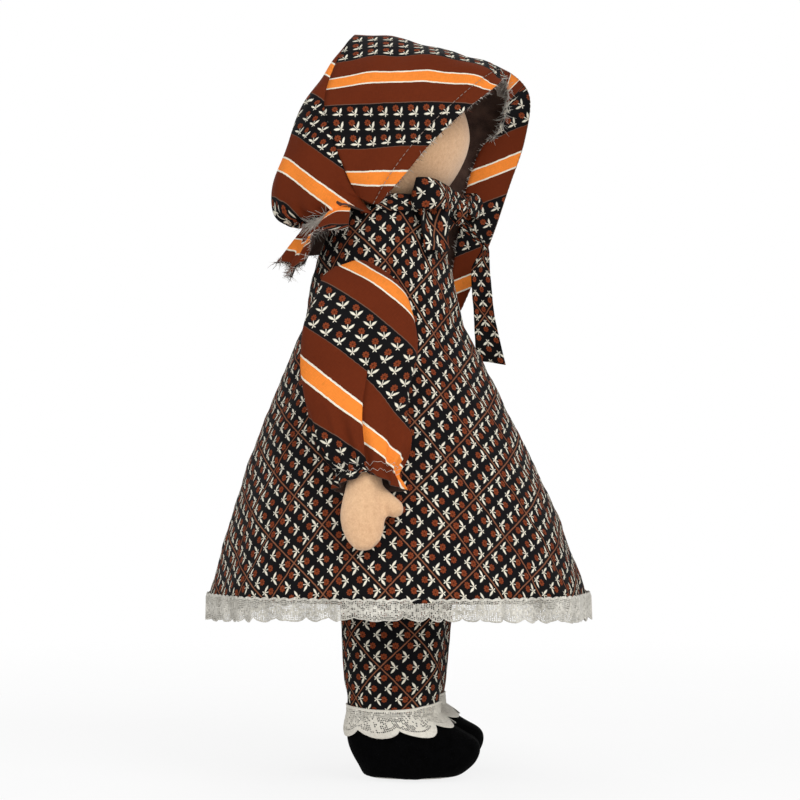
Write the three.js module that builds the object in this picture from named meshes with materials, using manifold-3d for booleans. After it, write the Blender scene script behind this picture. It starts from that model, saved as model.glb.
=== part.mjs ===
// Cloth rag doll in a print dress, lace trims and a tied sunbonnet.
// Millimetres, +Z up. The doll faces -Y, its right hand is on the -X side, and its soles stand on z = 0.

import * as THREE from 'three';
import { mergeVertices } from 'three/addons/utils/BufferGeometryUtils.js';
import Module from 'manifold-3d';

const wasm = await Module();
wasm.setup();

// Layers and clearances
const CLOTH = 1.2;
const LACE = 1;
const ELASTIC = 0.9;
const ELASTIC_WIDTH = 5;
const FIT = 0.3; // clearance between pieces that touch

// Boots
const BOOT_HEIGHT = 40;
const HEEL_REACH = 31;
const TOE_REACH = 52.5;
const BOOT_HALF_WIDTH = 24.5;

// Legs
const LEG_LENGTH = 150; // ankle seam to hip seam
const LEG_HALF_WIDTH = 26;
const LEG_HALF_DEPTH = 27.5;
const LEG_SETBACK = 1.5; // leg axis behind the middle of the skirt
const LEG_PART = 2; // space between the two ankle laces
const HIP_SEAM_RADIUS = 4;
const HIP_SEAM_HALF_WIDTH = 20;
const ANKLE_LACE_RISE = 6;
const ANKLE_LACE_DROP = 12;
const ANKLE_LACE_INSTEP = 7; // how much higher the lace ends over the instep
const ANKLE_LACE_FLARE = 1.2;
const ANKLE_LACE_RUFFLE = 0.8;
const ANKLE_LACE_RUFFLES = 10;

// Torso
const TORSO_HEIGHT = 149;
const HIP_HALF_WIDTH = 57;
const HIP_HALF_DEPTH = 43;
const HIP_RISE = 18;
const BASE_TUCK = 9; // how far the flat base lies inside the hips
const WAIST_HALF_WIDTH = 49;
const WAIST_HALF_DEPTH = 47;
const WAIST_RISE = 80;
const SHOULDER_HALF_WIDTH = 42;
const SHOULDER_HALF_DEPTH = 41;
const SHOULDER_RISE = 122;
const SHOULDER_SLOPE = 8; // drop from the neck hole to the top of the shoulders
const SHOULDER_TUCK = 9;
const BODY_LEAN = 6; // neckline behind the middle of the hem
const FRONT_HOLLOW = 10.5; // how much flatter the front is than the back, from shoulders to waist

// Neck and head
const NECK_RADIUS = 15;
const NECK_BALL_SWELL = 2; // the neck's rounded top stands out this far past the stem
const NECK_SEAT = 16;
const NECK_RISE = 15;
const NECK_OPENING = 5; // room round the stem at the head's base
const HEAD_RISE = 32;
const HEAD_FORWARD = 4;
const HEAD_HALF_WIDTH = 42;
const HEAD_HALF_DEPTH = 46;
const HEAD_HALF_HEIGHT = 46;

// Dress
const NECKLINE_RISE = 3.7;
const NECKLINE_EASE = 19;
const SHOULDER_EASE = 3.5;
const WAIST_EASE = 6;
const SKIRT_LENGTH = 166;
const HEM_RADIUS = 116;
const SKIRT_SWELL = 0.3; // how much the skirt flares early
const SKIRT_FOLDS = 10;
const SKIRT_FOLD_DEPTH = 1.5;
const HEM_SIDE_RISE = 1.5;
const HEM_LACE_OVERLAP = 2;
const HEM_LACE_DROP = 12;
const HEM_LACE_RUFFLES = 20;
const HEM_LACE_RUFFLE = 0.9;

// Arms and sleeves, lying against the slope of the dress
const ARM_SLOPE = THREE.MathUtils.degToRad(19);
const ARM_SEAM_DROP = 5.6; // sleeve cap below the shoulders
const ARM_SETBACK = 11.2;
const SLEEVE_LENGTH = 137;
const SLEEVE_HALF_WIDTH = 34.5;
const SLEEVE_THICKNESS = 26;
const CUFF_FRILL = 10;
const CUFF_FLARE = 2;
const CUFF_FLUTES = 5;
const CUFF_FLUTE_DEPTH = 0.9;
const ARMHOLE_RADIUS = 12;
const ARMHOLE_DROP = 18;
const ARMHOLE_EASE = 0.5;
const ARM_TOP = 11;
const ARM_LENGTH = 172.5;
const ARM_HALF_WIDTH = 13;
const ARM_THICKNESS = 16;
const THUMB_RADIUS = 5.4;
const THUMB_LENGTH = 12.5;
const THUMB_DROP = 154; // middle of the thumb below the sleeve cap
const THUMB_FRONT = 17;
const THUMB_ANGLE = THREE.MathUtils.degToRad(48);

// Bonnet
const BONNET_EASE = 2.5;
const BONNET_TURN_GAP = 2.6; // space inside a folded edge
const CROWN_PUFF = 17; // fullness behind the seam at the sides
const CREST_PUFF = 10; // and at the top
const CREST_DROP = 7; // how steeply the crown leaves the seam at the top
const CROWN_BAG = 65; // fullness behind the nape
const CROWN_DROOP = 42;
const NAPE_HALF_WIDTH = 38.5;
const NAPE_BACK = 49; // nape gather behind the head's middle
const NAPE_DROP = 43;
const FRILL_FLARE = 20;
const FRILL_DROP = 35;
const FRILL_END_DROP = 14;
const FRILL_FOLDS = 6;
const FRILL_FOLD_DEPTH = 1.2;

// Ties and bow
const RIBBON = 1.2;
const TIE_WIDTH = 10;
const TIE_EASE = 4.5; // ties outside the neckline
const TIE_RISE = 1;
const TIE_LATE = 6; // how late the ties leave the neckline for the knot
const TIE_START = THREE.MathUtils.degToRad(8); // how far back the ties start
const BOW_WIDTH = 17;
const KNOT_HALF_WIDTH = 9;
const KNOT_HALF_DEPTH = 7;
const KNOT_HALF_HEIGHT = 9;
const KNOT_SIDE = 2;
const KNOT_DROP = 1;
const LOOP_OPENING = 7.5;
const LOOP_START = 6; // from the knot's middle
const LOOP_FORWARD = 7;
// Ends of the loops from the knot: side, front, lower edge
const LOOP_RIGHT = [-45, -20, 0];
const LOOP_LEFT = [34, 0, -4];
// Tails from the knot down: side, front, up, width
const TAIL_RIGHT = [
  [0, 0, -3, 8],
  [-10, 3, -10, 12],
  [-18, 3, -24, 14],
];
const TAIL_LEFT = [
  [0, 0, -3, 8],
  [7, 9, -13, 7],
  [17, 15, -21, 7],
  [26, 14, -34, 12],
  [33, 16, -62, 13.5],
  [39, 20, -92, 19],
];

// Shapes, as shares of the sizes above
// Boot: height, toe reach, heel reach, half width
const BOOT_SHAPE = [
  [0.8, 0.72, 0.98, 1.05],
  [0.62, 0.95, 0.98, 1.03],
  [0.42, 1, 0.9, 1],
  [0.22, 0.92, 0.77, 0.95],
  [0.07, 0.77, 0.65, 0.81],
  [0, 0.63, 0.5, 0.62],
];
// Leg: distance down from the hip, half width, half depth
const LEG_SHAPE = [
  [0.05, 0.9, 0.3],
  [0.13, 0.95, 0.65],
  [0.25, 1, 0.98],
  [0.5, 1.03, 1.18],
  [0.7, 1.02, 1.14],
  [1, 1, 1],
];
// Sleeve: distance down from the cap, middle towards the front in mm, half width, thickness
const SLEEVE_SHAPE = [
  [0, -4, 0.1, 0.1],
  [0.07, -5, 0.52, 0.42],
  [0.18, -2, 0.77, 0.75],
  [0.43, -1.5, 1, 1],
  [0.72, -2, 0.84, 0.92],
  [0.92, 3, 0.66, 0.82],
  [1, 5.5, 0.48, 0.76],
];
// Arm with mitten hand: distance down, middle towards the front in mm, half width, thickness
const ARM_SHAPE = [
  [0, -2, 0.5, 0.4],
  [0.06, -1, 0.72, 0.62],
  [0.2, 0, 0.95, 0.95],
  [0.5, 1, 1, 1],
  [0.68, 4, 0.78, 0.72],
  [0.78, 4, 0.8, 0.72],
  [0.88, 3, 1, 1],
  [0.955, 4, 0.8, 0.82],
  [0.99, 4, 0.42, 0.5],
];
// Brim from the right lower corner over the top to the left lower corner, in head sizes from its middle:
// side, front, up. Four lines cross it: crown seam, fullest line, fold or stitching, and raw edge.
const BRIM_SEAM = [
  [-0.88, -0.43, -0.8],
  [-0.93, -0.57, -0.5],
  [-0.94, -0.74, -0.04],
  [-0.85, -0.84, 0.41],
  [-0.49, -0.7, 0.99],
  [0, -0.52, 1.36],
  [0.49, -0.7, 0.99],
  [0.85, -0.84, 0.41],
  [0.94, -0.74, -0.04],
  [0.93, -0.57, -0.5],
  [0.88, -0.43, -0.8],
];
const BRIM_FULL = [
  [-0.92, -0.32, -0.86],
  [-1.03, -0.25, -0.54],
  [-0.985, -0.1, -0.06],
  [-1.03, 0.02, 0.41],
  [-0.64, 0.34, 0.99],
  [0, 0.45, 1.21],
  [0.64, 0.42, 0.97],
  [1.03, 0.38, 0.41],
  [0.985, 0.2, -0.18],
  [1.06, 0.16, -0.68],
  [1.02, 0.2, -1.02],
];
const BRIM_FOLD = [
  [-0.935, -0.23, -0.91],
  [-1.045, 0, -0.54],
  [-1.11, 0.36, -0.09],
  [-1.07, 0.72, 0.27],
  [-0.72, 1.16, 0.7],
  [0, 1.4, 0.88],
  [0.67, 1.69, 0.66],
  [1.03, 1.63, 0.12],
  [1.1, 1.42, -0.5],
  [1.0, 1.18, -1.22],
  [1.02, 0.79, -2.12],
];
const BRIM_EDGE = [
  [-0.94, -0.16, -0.92],
  [-1.05, 0.16, -0.58],
  [-1.12, 0.53, -0.15],
  [-1.08, 0.89, 0.19],
  [-0.72, 1.32, 0.6],
  [0, 1.42, 0.79],
  [0.62, 1.34, 0.34],
  [0.9, 1.07, 0.02],
  [0.97, 0.89, -0.42],
  [0.93, 0.78, -0.95],
  [0.95, 0.64, -1.88],
];

// Counts of facets
const LIMB_SIDES = 10;
const BOOT_SIDES = 14;
const BODY_SIDES = 20;
const KNOT_SIDES = 10;
const THUMB_SIDES = 8;
const THUMB_CAP_STEPS = 2;
const LOOP_STEPS = 6;
const DRESS_SIDES = 32;
const HEM_SIDES = 3 * HEM_LACE_RUFFLES;
const ANKLE_SIDES = 3 * ANKLE_LACE_RUFFLES;
const LACE_ROWS = 1;
const SLEEVE_SIDES = 3 * CUFF_FLUTES;
const BRIM_STEPS = 2;
const CROWN_ROWS = 6;
const FRILL_ROWS = 2;
const NAPE_STEPS = 4 * FRILL_FOLDS;
const SKIRT_ROWS = 5;
const HEAD_ROWS = 8;
const BALL_STEPS = 8;
const BRIM_COLUMNS = 5;
const RIBBON_STEPS = 3;
const TIE_STEPS = 10;
const FINE_STEPS = 8; // points across a facet for measuring a surface

// Colours
const PRINT = { color: 0x2a211d, roughness: 0.9, metalness: 0 };
const STRIPE = { color: 0x6e2c14, roughness: 0.9, metalness: 0 };
const FLESH = { color: 0xe2b184, roughness: 0.95, metalness: 0 };
const FELT = { color: 0x060608, roughness: 1, metalness: 0 };
const LACE_CREAM = { color: 0xc6c1b2, roughness: 0.9, metalness: 0 };
const FIBRE = { color: 0xf0ece2, roughness: 1, metalness: 0 };
const ELASTIC_WHITE = { color: 0xe6e4de, roughness: 0.8, metalness: 0 };

// Heights and places that follow from the sizes
const HIP_Z = BOOT_HEIGHT + LEG_LENGTH;
const LEG_X = LEG_HALF_WIDTH + 2 * FIT + LACE + ANKLE_LACE_FLARE + ANKLE_LACE_RUFFLE + LEG_PART / 2;
const TORSO_Z = HIP_Z + HIP_SEAM_RADIUS + FIT;
const SHOULDER_Z = TORSO_Z + SHOULDER_RISE;
const WAIST_Z = TORSO_Z + WAIST_RISE;
const TORSO_TOP_Z = TORSO_Z + TORSO_HEIGHT;
const NECKLINE_Z = TORSO_TOP_Z + NECKLINE_RISE;
const NECKLINE_RADIUS = NECK_RADIUS + NECKLINE_EASE;
const HEM_Z = WAIST_Z - SKIRT_LENGTH;
const NECK_PIVOT_Z = TORSO_TOP_Z + NECK_RISE;
const HEAD_Z = NECK_PIVOT_Z + HEAD_RISE;
const HEAD_FRONT = HEAD_FORWARD - BODY_LEAN;

const doll = new THREE.Group();
const sides = [
  { name: 'right', sign: -1 },
  { name: 'left', sign: 1 },
];

// A point by its distances to the doll's left, to its front and up.
function at(side, front, up) {
  return new THREE.Vector3(side, -front, up);
}

function lerp(a, b, t) {
  return a + (b - a) * t;
}

// Catmull-Rom value between two rows of numbers.
function between(rows, index, t) {
  const before = rows[Math.max(index - 1, 0)];
  const from = rows[index];
  const to = rows[Math.min(index + 1, rows.length - 1)];
  const after = rows[Math.min(index + 2, rows.length - 1)];
  return from.map((value, column) => {
    const start = (to[column] - before[column]) / 2;
    const end = (after[column] - value) / 2;
    const cubic = 2 * value - 2 * to[column] + start + end;
    const square = 3 * to[column] - 3 * value - 2 * start - end;
    return ((cubic * t + square) * t + start) * t + value;
  });
}

// Rows of numbers with smooth steps between each two.
function smooth(rows, steps) {
  const result = [];
  for (let index = 0; index + 1 < rows.length; index++) {
    for (let step = 0; step < steps; step++) {
      result.push(between(rows, index, step / steps));
    }
  }
  result.push([...rows.at(-1)]);
  return result;
}

// The other columns of a row at a given first column, straight between rows.
function sample(rows, first) {
  const rising = rows.at(-1)[0] > rows[0][0] ? rows : [...rows].reverse();
  let index = 0;
  while (index + 2 < rising.length && rising[index + 1][0] < first) {
    index++;
  }
  const [from, to] = [rising[index], rising[index + 1]];
  const t = THREE.MathUtils.clamp((first - from[0]) / (to[0] - from[0]), 0, 1);
  return from.slice(1).map((value, column) => lerp(value, to[column + 1], t));
}

// Points round an upright oval, starting at the doll's left.
function oval(side, front, up, halfWidth, halfDepth, count) {
  return Array.from({ length: count }, (_, index) => {
    const angle = (2 * Math.PI * index) / count;
    return at(side + halfWidth * Math.cos(angle), front - halfDepth * Math.sin(angle), up);
  });
}

function middle(points) {
  const sum = points.reduce((total, point) => total.add(point), new THREE.Vector3());
  return sum.divideScalar(points.length);
}

// A row that closes a loft in one point.
function pole(row, shift = new THREE.Vector3()) {
  const centre = middle(row).add(shift);
  return row.map(() => centre);
}

// Points spread over the facets between rows that close in a ring.
function onFacets(rows) {
  const shares = Array.from({ length: FINE_STEPS + 1 }, (_, index) => index / FINE_STEPS);
  return rows.slice(1).flatMap((below, i) =>
    below.flatMap((_, j) => {
      const next = (j + 1) % below.length;
      return shares.flatMap((along) => {
        const top = rows[i][j].clone().lerp(rows[i][next], along);
        const bottom = below[j].clone().lerp(below[next], along);
        return shares.map((down) => top.clone().lerp(bottom, down));
      });
    }),
  );
}

function isPole(row) {
  return row.every((point) => point.equals(row[0]));
}

// Surface normals of a grid of points, pointing away from the core.
function normals(rows, wrap, core) {
  const away = core ?? middle(rows.flat());
  let facing = 0;
  const result = rows.map((row, i) =>
    row.map((point, j) => {
      const ahead = rows[Math.min(i + 1, rows.length - 1)][j];
      const behind = rows[Math.max(i - 1, 0)][j];
      const count = row.length;
      const next = row[wrap ? (j + 1) % count : Math.min(j + 1, count - 1)];
      const last = row[wrap ? (j + count - 1) % count : Math.max(j - 1, 0)];
      const normal = ahead.clone().sub(behind).cross(next.clone().sub(last)).normalize();
      facing += normal.dot(point.clone().sub(away));
      return normal;
    }),
  );
  rows.forEach((row, i) => {
    if (isPole(row)) {
      const inner = middle(rows[i === 0 ? 2 : i - 2]);
      const axis = row[0].clone().sub(inner).normalize().multiplyScalar(Math.sign(facing));
      result[i] = row.map(() => axis);
    }
  });
  return result.map((row) => row.map((normal) => normal.clone().multiplyScalar(Math.sign(facing))));
}

// The same grid moved outwards; the distance may be a function of row and column.
function offset(rows, distance, wrap = true, core = null) {
  const outward = normals(rows, wrap, core);
  const far = typeof distance === 'function' ? distance : () => distance;
  return rows.map((row, i) =>
    row.map((point, j) => point.clone().addScaledVector(outward[i][j], far(i, j))),
  );
}

function addQuads(corners, rows, wrap, flip = false) {
  const columns = wrap ? rows[0].length : rows[0].length - 1;
  for (let i = 0; i + 1 < rows.length; i++) {
    for (let j = 0; j < columns; j++) {
      const k = (j + 1) % rows[i].length;
      const [a, b, c, d] = [rows[i][j], rows[i + 1][j], rows[i + 1][k], rows[i][k]];
      addTriangle(corners, a, b, c, flip);
      addTriangle(corners, a, c, d, flip);
    }
  }
}

function addTriangle(corners, a, b, c, flip) {
  if (a.equals(b) || b.equals(c) || c.equals(a)) {
    return;
  }
  corners.push(a, ...(flip ? [c, b] : [b, c]));
}

// A closed geometry from triangle corners, facing out.
function closed(corners) {
  let volume = 0;
  for (let i = 0; i < corners.length; i += 3) {
    volume += corners[i].dot(corners[i + 1].clone().cross(corners[i + 2]));
  }
  const ordered = volume < 0 ? [...corners].reverse() : corners;
  const geometry = new THREE.BufferGeometry().setFromPoints(ordered);
  return mergeVertices(geometry, 1e-4);
}

// Cloth of one thickness under an outer surface, open at each end that isn't drawn to a point.
function shell(rows, thickness, wrap = true, core = null) {
  const inner = offset(rows, -thickness, wrap, core);
  const corners = [];
  addQuads(corners, rows, wrap);
  addQuads(corners, inner, wrap, true);
  if (!isPole(rows[0])) {
    addQuads(corners, [inner[0], rows[0]], wrap);
  }
  if (!isPole(rows.at(-1))) {
    addQuads(corners, [rows.at(-1), inner.at(-1)], wrap);
  }
  if (!wrap) {
    const last = rows[0].length - 1;
    addQuads(corners, rows.map((row, i) => [inner[i][0], row[0]]), false);
    addQuads(corners, rows.map((row, i) => [row[last], inner[i][last]]), false);
  }
  return closed(corners);
}

// A solid inside an outer surface, with flat ends where the surface is open.
function filling(rows, inset) {
  const inner = inset > 0 ? offset(rows, -inset) : rows;
  const ends = [...inner];
  if (!isPole(ends[0])) {
    ends.unshift(pole(ends[0]));
  }
  if (!isPole(ends.at(-1))) {
    ends.push(pole(ends.at(-1)));
  }
  const corners = [];
  addQuads(corners, ends, true);
  return closed(corners);
}

function toSolid(geometry) {
  const bare = geometry.clone();
  bare.deleteAttribute('normal');
  bare.deleteAttribute('uv');
  const merged = mergeVertices(bare, 1e-4);
  const mesh = new wasm.Mesh({
    numProp: 3,
    vertProperties: new Float32Array(merged.getAttribute('position').array),
    triVerts: new Uint32Array(merged.getIndex().array),
  });
  return new wasm.Manifold(mesh);
}

function toGeometry(solid) {
  const mesh = solid.getMesh();
  const geometry = new THREE.BufferGeometry();
  const positions = new Float32Array(mesh.vertProperties);
  geometry.setAttribute('position', new THREE.BufferAttribute(positions, 3));
  geometry.setIndex(Array.from(mesh.triVerts));
  return geometry;
}

function cut(geometry, cutters) {
  return toGeometry(cutters.reduce((solid, cutter) => solid.subtract(toSolid(cutter)), toSolid(geometry)));
}

function join(geometries) {
  return toGeometry(geometries.map(toSolid).reduce((whole, solid) => whole.add(solid)));
}

// A turned solid about Z from radius and height pairs that start and end on the axis.
function turned(profile, sidesRound) {
  const points = profile.map(([radius, up]) => new THREE.Vector2(radius, up));
  return new THREE.LatheGeometry(points, sidesRound).rotateX(Math.PI / 2);
}

// The same geometry on the other side of the doll.
function mirrored(geometry) {
  const copy = geometry.clone().scale(-1, 1, 1);
  const index = Array.from(copy.getIndex().array);
  copy.setIndex(index.reverse());
  return copy;
}

function addPiece(parent, name, geometry, finish) {
  const bare = geometry.clone();
  bare.deleteAttribute('uv');
  bare.computeVertexNormals();
  const mesh = new THREE.Mesh(bare, new THREE.MeshStandardMaterial(finish));
  mesh.name = name;
  parent.add(mesh);
}

// How far the dress and torso stand towards the front at a height.
function lean(up) {
  return -BODY_LEAN * THREE.MathUtils.clamp((up - HEM_Z) / (NECKLINE_Z - HEM_Z), 0, 1);
}

// How far the front of the dress and torso is drawn in at a height.
function hollow(up) {
  if (up > WAIST_Z) {
    return FRONT_HOLLOW * THREE.MathUtils.clamp((NECKLINE_Z - up) / (NECKLINE_Z - SHOULDER_Z), 0, 1);
  }
  const down = THREE.MathUtils.clamp((WAIST_Z - up) / SKIRT_LENGTH, 0, 1);
  return (FRONT_HOLLOW * (1 + Math.cos(Math.PI * down))) / 2;
}

// A point of the dress or torso at an angle from the doll's left towards its back
function bodyPoint(angle, up, halfWidth, halfDepth, drawnIn) {
  const depth = Math.sin(angle) < 0 ? halfDepth - drawnIn : halfDepth;
  return at(halfWidth * Math.cos(angle), lean(up) - depth * Math.sin(angle), up);
}

function bodyRow(up, halfWidth, halfDepth, drawnIn, count) {
  return Array.from({ length: count }, (_, index) =>
    bodyPoint((2 * Math.PI * index) / count, up, halfWidth, halfDepth, drawnIn),
  );
}

// Torso
function torsoRows() {
  const stations = [
    [TORSO_HEIGHT, NECK_RADIUS + FIT, NECK_RADIUS + FIT],
    [TORSO_HEIGHT - SHOULDER_SLOPE, SHOULDER_HALF_WIDTH - SHOULDER_TUCK, SHOULDER_HALF_DEPTH - SHOULDER_TUCK],
    [SHOULDER_RISE, SHOULDER_HALF_WIDTH, SHOULDER_HALF_DEPTH],
    [WAIST_RISE, WAIST_HALF_WIDTH, WAIST_HALF_DEPTH],
    [HIP_RISE, HIP_HALF_WIDTH, HIP_HALF_DEPTH],
    [0, HIP_HALF_WIDTH - BASE_TUCK, HIP_HALF_DEPTH - BASE_TUCK],
  ];
  const rows = stations.map(([rise, halfWidth, halfDepth]) => {
    const up = TORSO_Z + rise;
    const drawnIn = Math.min(hollow(up), halfDepth - NECK_RADIUS - FIT);
    return bodyRow(up, halfWidth, halfDepth, drawnIn, BODY_SIDES);
  });
  rows.push(pole(rows.at(-1)));
  return rows;
}

function addTorso() {
  const rows = torsoRows();
  const bore = turned(
    [
      [0, TORSO_TOP_Z - NECK_SEAT - FIT],
      [NECK_RADIUS + FIT, TORSO_TOP_Z - NECK_SEAT - FIT],
      [NECK_RADIUS + FIT, TORSO_TOP_Z + NECK_SEAT],
      [0, TORSO_TOP_Z + NECK_SEAT],
    ],
    BODY_SIDES,
  ).translate(0, BODY_LEAN, 0);
  addPiece(doll, 'torso_skin', cut(shell(rows, CLOTH), [bore]), FLESH);
  addPiece(doll, 'torso_stuffing', cut(filling(rows, CLOTH + FIT), [bore]), FIBRE);
}

// Neck with a rounded top that the head tips on
function addNeck() {
  const ball = NECK_RADIUS + NECK_BALL_SWELL;
  const start = Math.asin(NECK_RADIUS / ball);
  const profile = [
    [0, TORSO_TOP_Z - NECK_SEAT],
    [NECK_RADIUS, TORSO_TOP_Z - NECK_SEAT],
  ];
  for (let step = 0; step < BALL_STEPS; step++) {
    const angle = lerp(start, Math.PI, step / BALL_STEPS);
    profile.push([ball * Math.sin(angle), NECK_PIVOT_Z - ball * Math.cos(angle)]);
  }
  profile.push([0, NECK_PIVOT_Z + ball]);
  addPiece(doll, 'neck', turned(profile, BODY_SIDES).translate(0, BODY_LEAN, 0), FLESH);
}

// Head, open at the base round the neck
function headRows() {
  const opening = (NECK_RADIUS + NECK_OPENING) / HEAD_HALF_WIDTH;
  const rows = [];
  for (let i = 0; i <= HEAD_ROWS; i++) {
    const angle = lerp(Math.asin(opening), Math.PI, i / HEAD_ROWS);
    const up = HEAD_Z - HEAD_HALF_HEIGHT * Math.cos(angle);
    const round = Math.sin(angle);
    const front = lerp(HEAD_FRONT, -BODY_LEAN, Math.max(Math.cos(angle), 0));
    rows.push(oval(0, front, up, HEAD_HALF_WIDTH * round, HEAD_HALF_DEPTH * round, BODY_SIDES));
  }
  rows[HEAD_ROWS] = pole(rows[HEAD_ROWS]);
  return rows;
}

function addHead() {
  const rows = headRows();
  const ball = NECK_RADIUS + NECK_BALL_SWELL + FIT;
  const socket = new THREE.SphereGeometry(ball / Math.cos(Math.PI / BODY_SIDES), BODY_SIDES, BODY_SIDES / 2)
    .rotateX(Math.PI / 2)
    .translate(0, BODY_LEAN, NECK_PIVOT_Z);
  const throat = turned(
    [
      [0, NECK_PIVOT_Z - HEAD_RISE],
      [ball, NECK_PIVOT_Z - HEAD_RISE],
      [ball, NECK_PIVOT_Z],
      [0, NECK_PIVOT_Z],
    ],
    BODY_SIDES,
  ).translate(0, BODY_LEAN, 0);
  addPiece(doll, 'head_skin', shell(rows, CLOTH), FLESH);
  addPiece(doll, 'head_stuffing', cut(filling(rows, CLOTH + FIT), [socket, throat]), FIBRE);
}

// Dress: bodice and skirt
const bodiceProfile = smooth(
  [
    [NECKLINE_Z, NECKLINE_RADIUS],
    [SHOULDER_Z, SHOULDER_HALF_WIDTH + SHOULDER_EASE],
    [WAIST_Z, WAIST_HALF_WIDTH + WAIST_EASE],
  ],
  2,
);

function bodiceRows(count) {
  return bodiceProfile.map(([up, radius]) => bodyRow(up, radius, radius, hollow(up), count));
}

// Share of the way from the waist's radius to the hem's at a share of the skirt's length.
function flare(t) {
  return (1 + SKIRT_SWELL) * t - SKIRT_SWELL * t * t;
}

function hemZ(angle) {
  return HEM_Z + HEM_SIDE_RISE * Math.cos(angle) ** 2;
}

// A point on the skirt's outside; t runs from the waist, 0, to the hem, 1, and on past it.
function skirtPoint(angle, t) {
  const waist = WAIST_HALF_WIDTH + WAIST_EASE;
  const up = lerp(WAIST_Z - FIT, hemZ(angle), t);
  const fold = SKIRT_FOLD_DEPTH * t * t * Math.cos(SKIRT_FOLDS * angle + Math.PI / 2);
  const radius = lerp(waist, HEM_RADIUS, flare(t)) + fold;
  return bodyPoint(angle, up, radius, radius, hollow(up));
}

function skirtRows(count, from, to, steps) {
  return Array.from({ length: steps + 1 }, (_, i) =>
    Array.from({ length: count }, (__, j) =>
      skirtPoint((2 * Math.PI * j) / count, lerp(from, to, i / steps)),
    ),
  );
}

// The sloping plane outside the whole dress that an arm lies against
function armPlane() {
  const reach = [...bodiceRows(DRESS_SIDES), ...skirtRows(DRESS_SIDES, 0, 1, SKIRT_ROWS)]
    .flat()
    .map((point) => point.x * Math.cos(ARM_SLOPE) + point.z * Math.sin(ARM_SLOPE));
  return Math.max(...reach) + FIT;
}

const ARM_Z = SHOULDER_Z - ARM_SEAM_DROP;
const ARM_X = (armPlane() - ARM_Z * Math.sin(ARM_SLOPE)) / Math.cos(ARM_SLOPE);
const ARM_FRONT = lean(ARM_Z) - ARM_SETBACK;

// A group whose -Z runs down the left arm and whose +X leaves the dress; the right one is its mirror.
function armFrame(sign) {
  const frame = new THREE.Group();
  frame.position.copy(at(sign * ARM_X, ARM_FRONT, ARM_Z));
  frame.rotation.y = -sign * ARM_SLOPE;
  return frame;
}

// A short turned plug about the line that the arm swings on, in the arm's frame
function armholePlug(radius, from, to) {
  const profile = [
    [0, from],
    [radius, from],
    [radius, to],
    [0, to],
  ];
  return turned(profile, BODY_SIDES)
    .rotateY(Math.PI / 2)
    .translate(0, 0, -ARMHOLE_DROP);
}

// How far out points in the arm's frame stand from the arm's plane within the armhole
function reachInArmhole(points) {
  const centre = new THREE.Vector2(0, -ARMHOLE_DROP);
  return points
    .filter((point) => new THREE.Vector2(point.y, point.z).distanceTo(centre) < ARMHOLE_RADIUS)
    .map((point) => point.x);
}

// The torso's surface in the arm's frame
function torsoInArmFrame() {
  const turn = new THREE.Matrix4().makeRotationY(ARM_SLOPE);
  const pivot = at(ARM_X, ARM_FRONT, ARM_Z);
  return onFacets(torsoRows()).map((point) => point.sub(pivot).applyMatrix4(turn));
}

// Tab that ties the arm to the torso, from the torso out to the arm
function shoulderTab() {
  const inner = Math.max(...reachInArmhole(torsoInArmFrame())) + FIT;
  const outer = Math.min(...reachInArmhole(onFacets(armRows()))) - FIT;
  return armholePlug(ARMHOLE_RADIUS, inner, outer);
}

function addDress() {
  const bodice = shell(bodiceRows(DRESS_SIDES), CLOTH);
  const hole = armholePlug(ARMHOLE_RADIUS + ARMHOLE_EASE, -SLEEVE_THICKNESS, SLEEVE_THICKNESS);
  const cutters = sides.map(({ sign }) => {
    const frame = armFrame(sign);
    frame.updateMatrix();
    return (sign > 0 ? hole : mirrored(hole)).clone().applyMatrix4(frame.matrix);
  });
  addPiece(doll, 'dress_bodice', cut(bodice, cutters), PRINT);
  addPiece(doll, 'dress_skirt', shell(skirtRows(DRESS_SIDES, 0, 1, SKIRT_ROWS), CLOTH), PRINT);
}

function addHemLace() {
  const length = SKIRT_LENGTH - FIT;
  const [top, bottom] = [1 - HEM_LACE_OVERLAP / length, 1 + HEM_LACE_DROP / length];
  const rows = skirtRows(HEM_SIDES, top, bottom, LACE_ROWS);
  const outside = offset(rows, (i, j) => {
    const angle = (2 * Math.PI * j) / HEM_SIDES;
    const ruffle = HEM_LACE_RUFFLE * (1 + Math.cos(HEM_LACE_RUFFLES * angle));
    return FIT + LACE + (i / LACE_ROWS) * ruffle;
  });
  addPiece(doll, 'skirt_hem_lace', shell(outside, LACE), LACE_CREAM);
}

// Legs and boots
const legProfile = [
  [0, HIP_SEAM_HALF_WIDTH, HIP_SEAM_RADIUS],
  ...LEG_SHAPE.map(([down, halfWidth, halfDepth]) => [
    down * (LEG_LENGTH - FIT / 2),
    halfWidth * LEG_HALF_WIDTH,
    halfDepth * LEG_HALF_DEPTH,
  ]),
];

const ANKLE_TOE = LEG_HALF_DEPTH - LEG_SETBACK;
const ANKLE_HEEL = LEG_HALF_DEPTH + LEG_SETBACK;

// Height, toe reach, heel reach and half width of the boot from the ankle seam to the sole
const bootProfile = [
  [BOOT_HEIGHT - FIT / 2, ANKLE_TOE, ANKLE_HEEL, LEG_HALF_WIDTH],
  ...BOOT_SHAPE.map(([up, toe, heel, halfWidth]) => [
    up * BOOT_HEIGHT,
    toe * TOE_REACH,
    heel * HEEL_REACH,
    halfWidth * BOOT_HALF_WIDTH,
  ]),
];

function legRows() {
  const rows = legProfile.map(([down, halfWidth, halfDepth]) =>
    oval(LEG_X, -LEG_SETBACK * (down / LEG_LENGTH), HIP_Z - down, halfWidth, halfDepth, LIMB_SIDES),
  );
  rows.unshift(pole(rows[0], at(0, 0, HIP_SEAM_RADIUS)));
  return rows.reverse();
}

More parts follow.
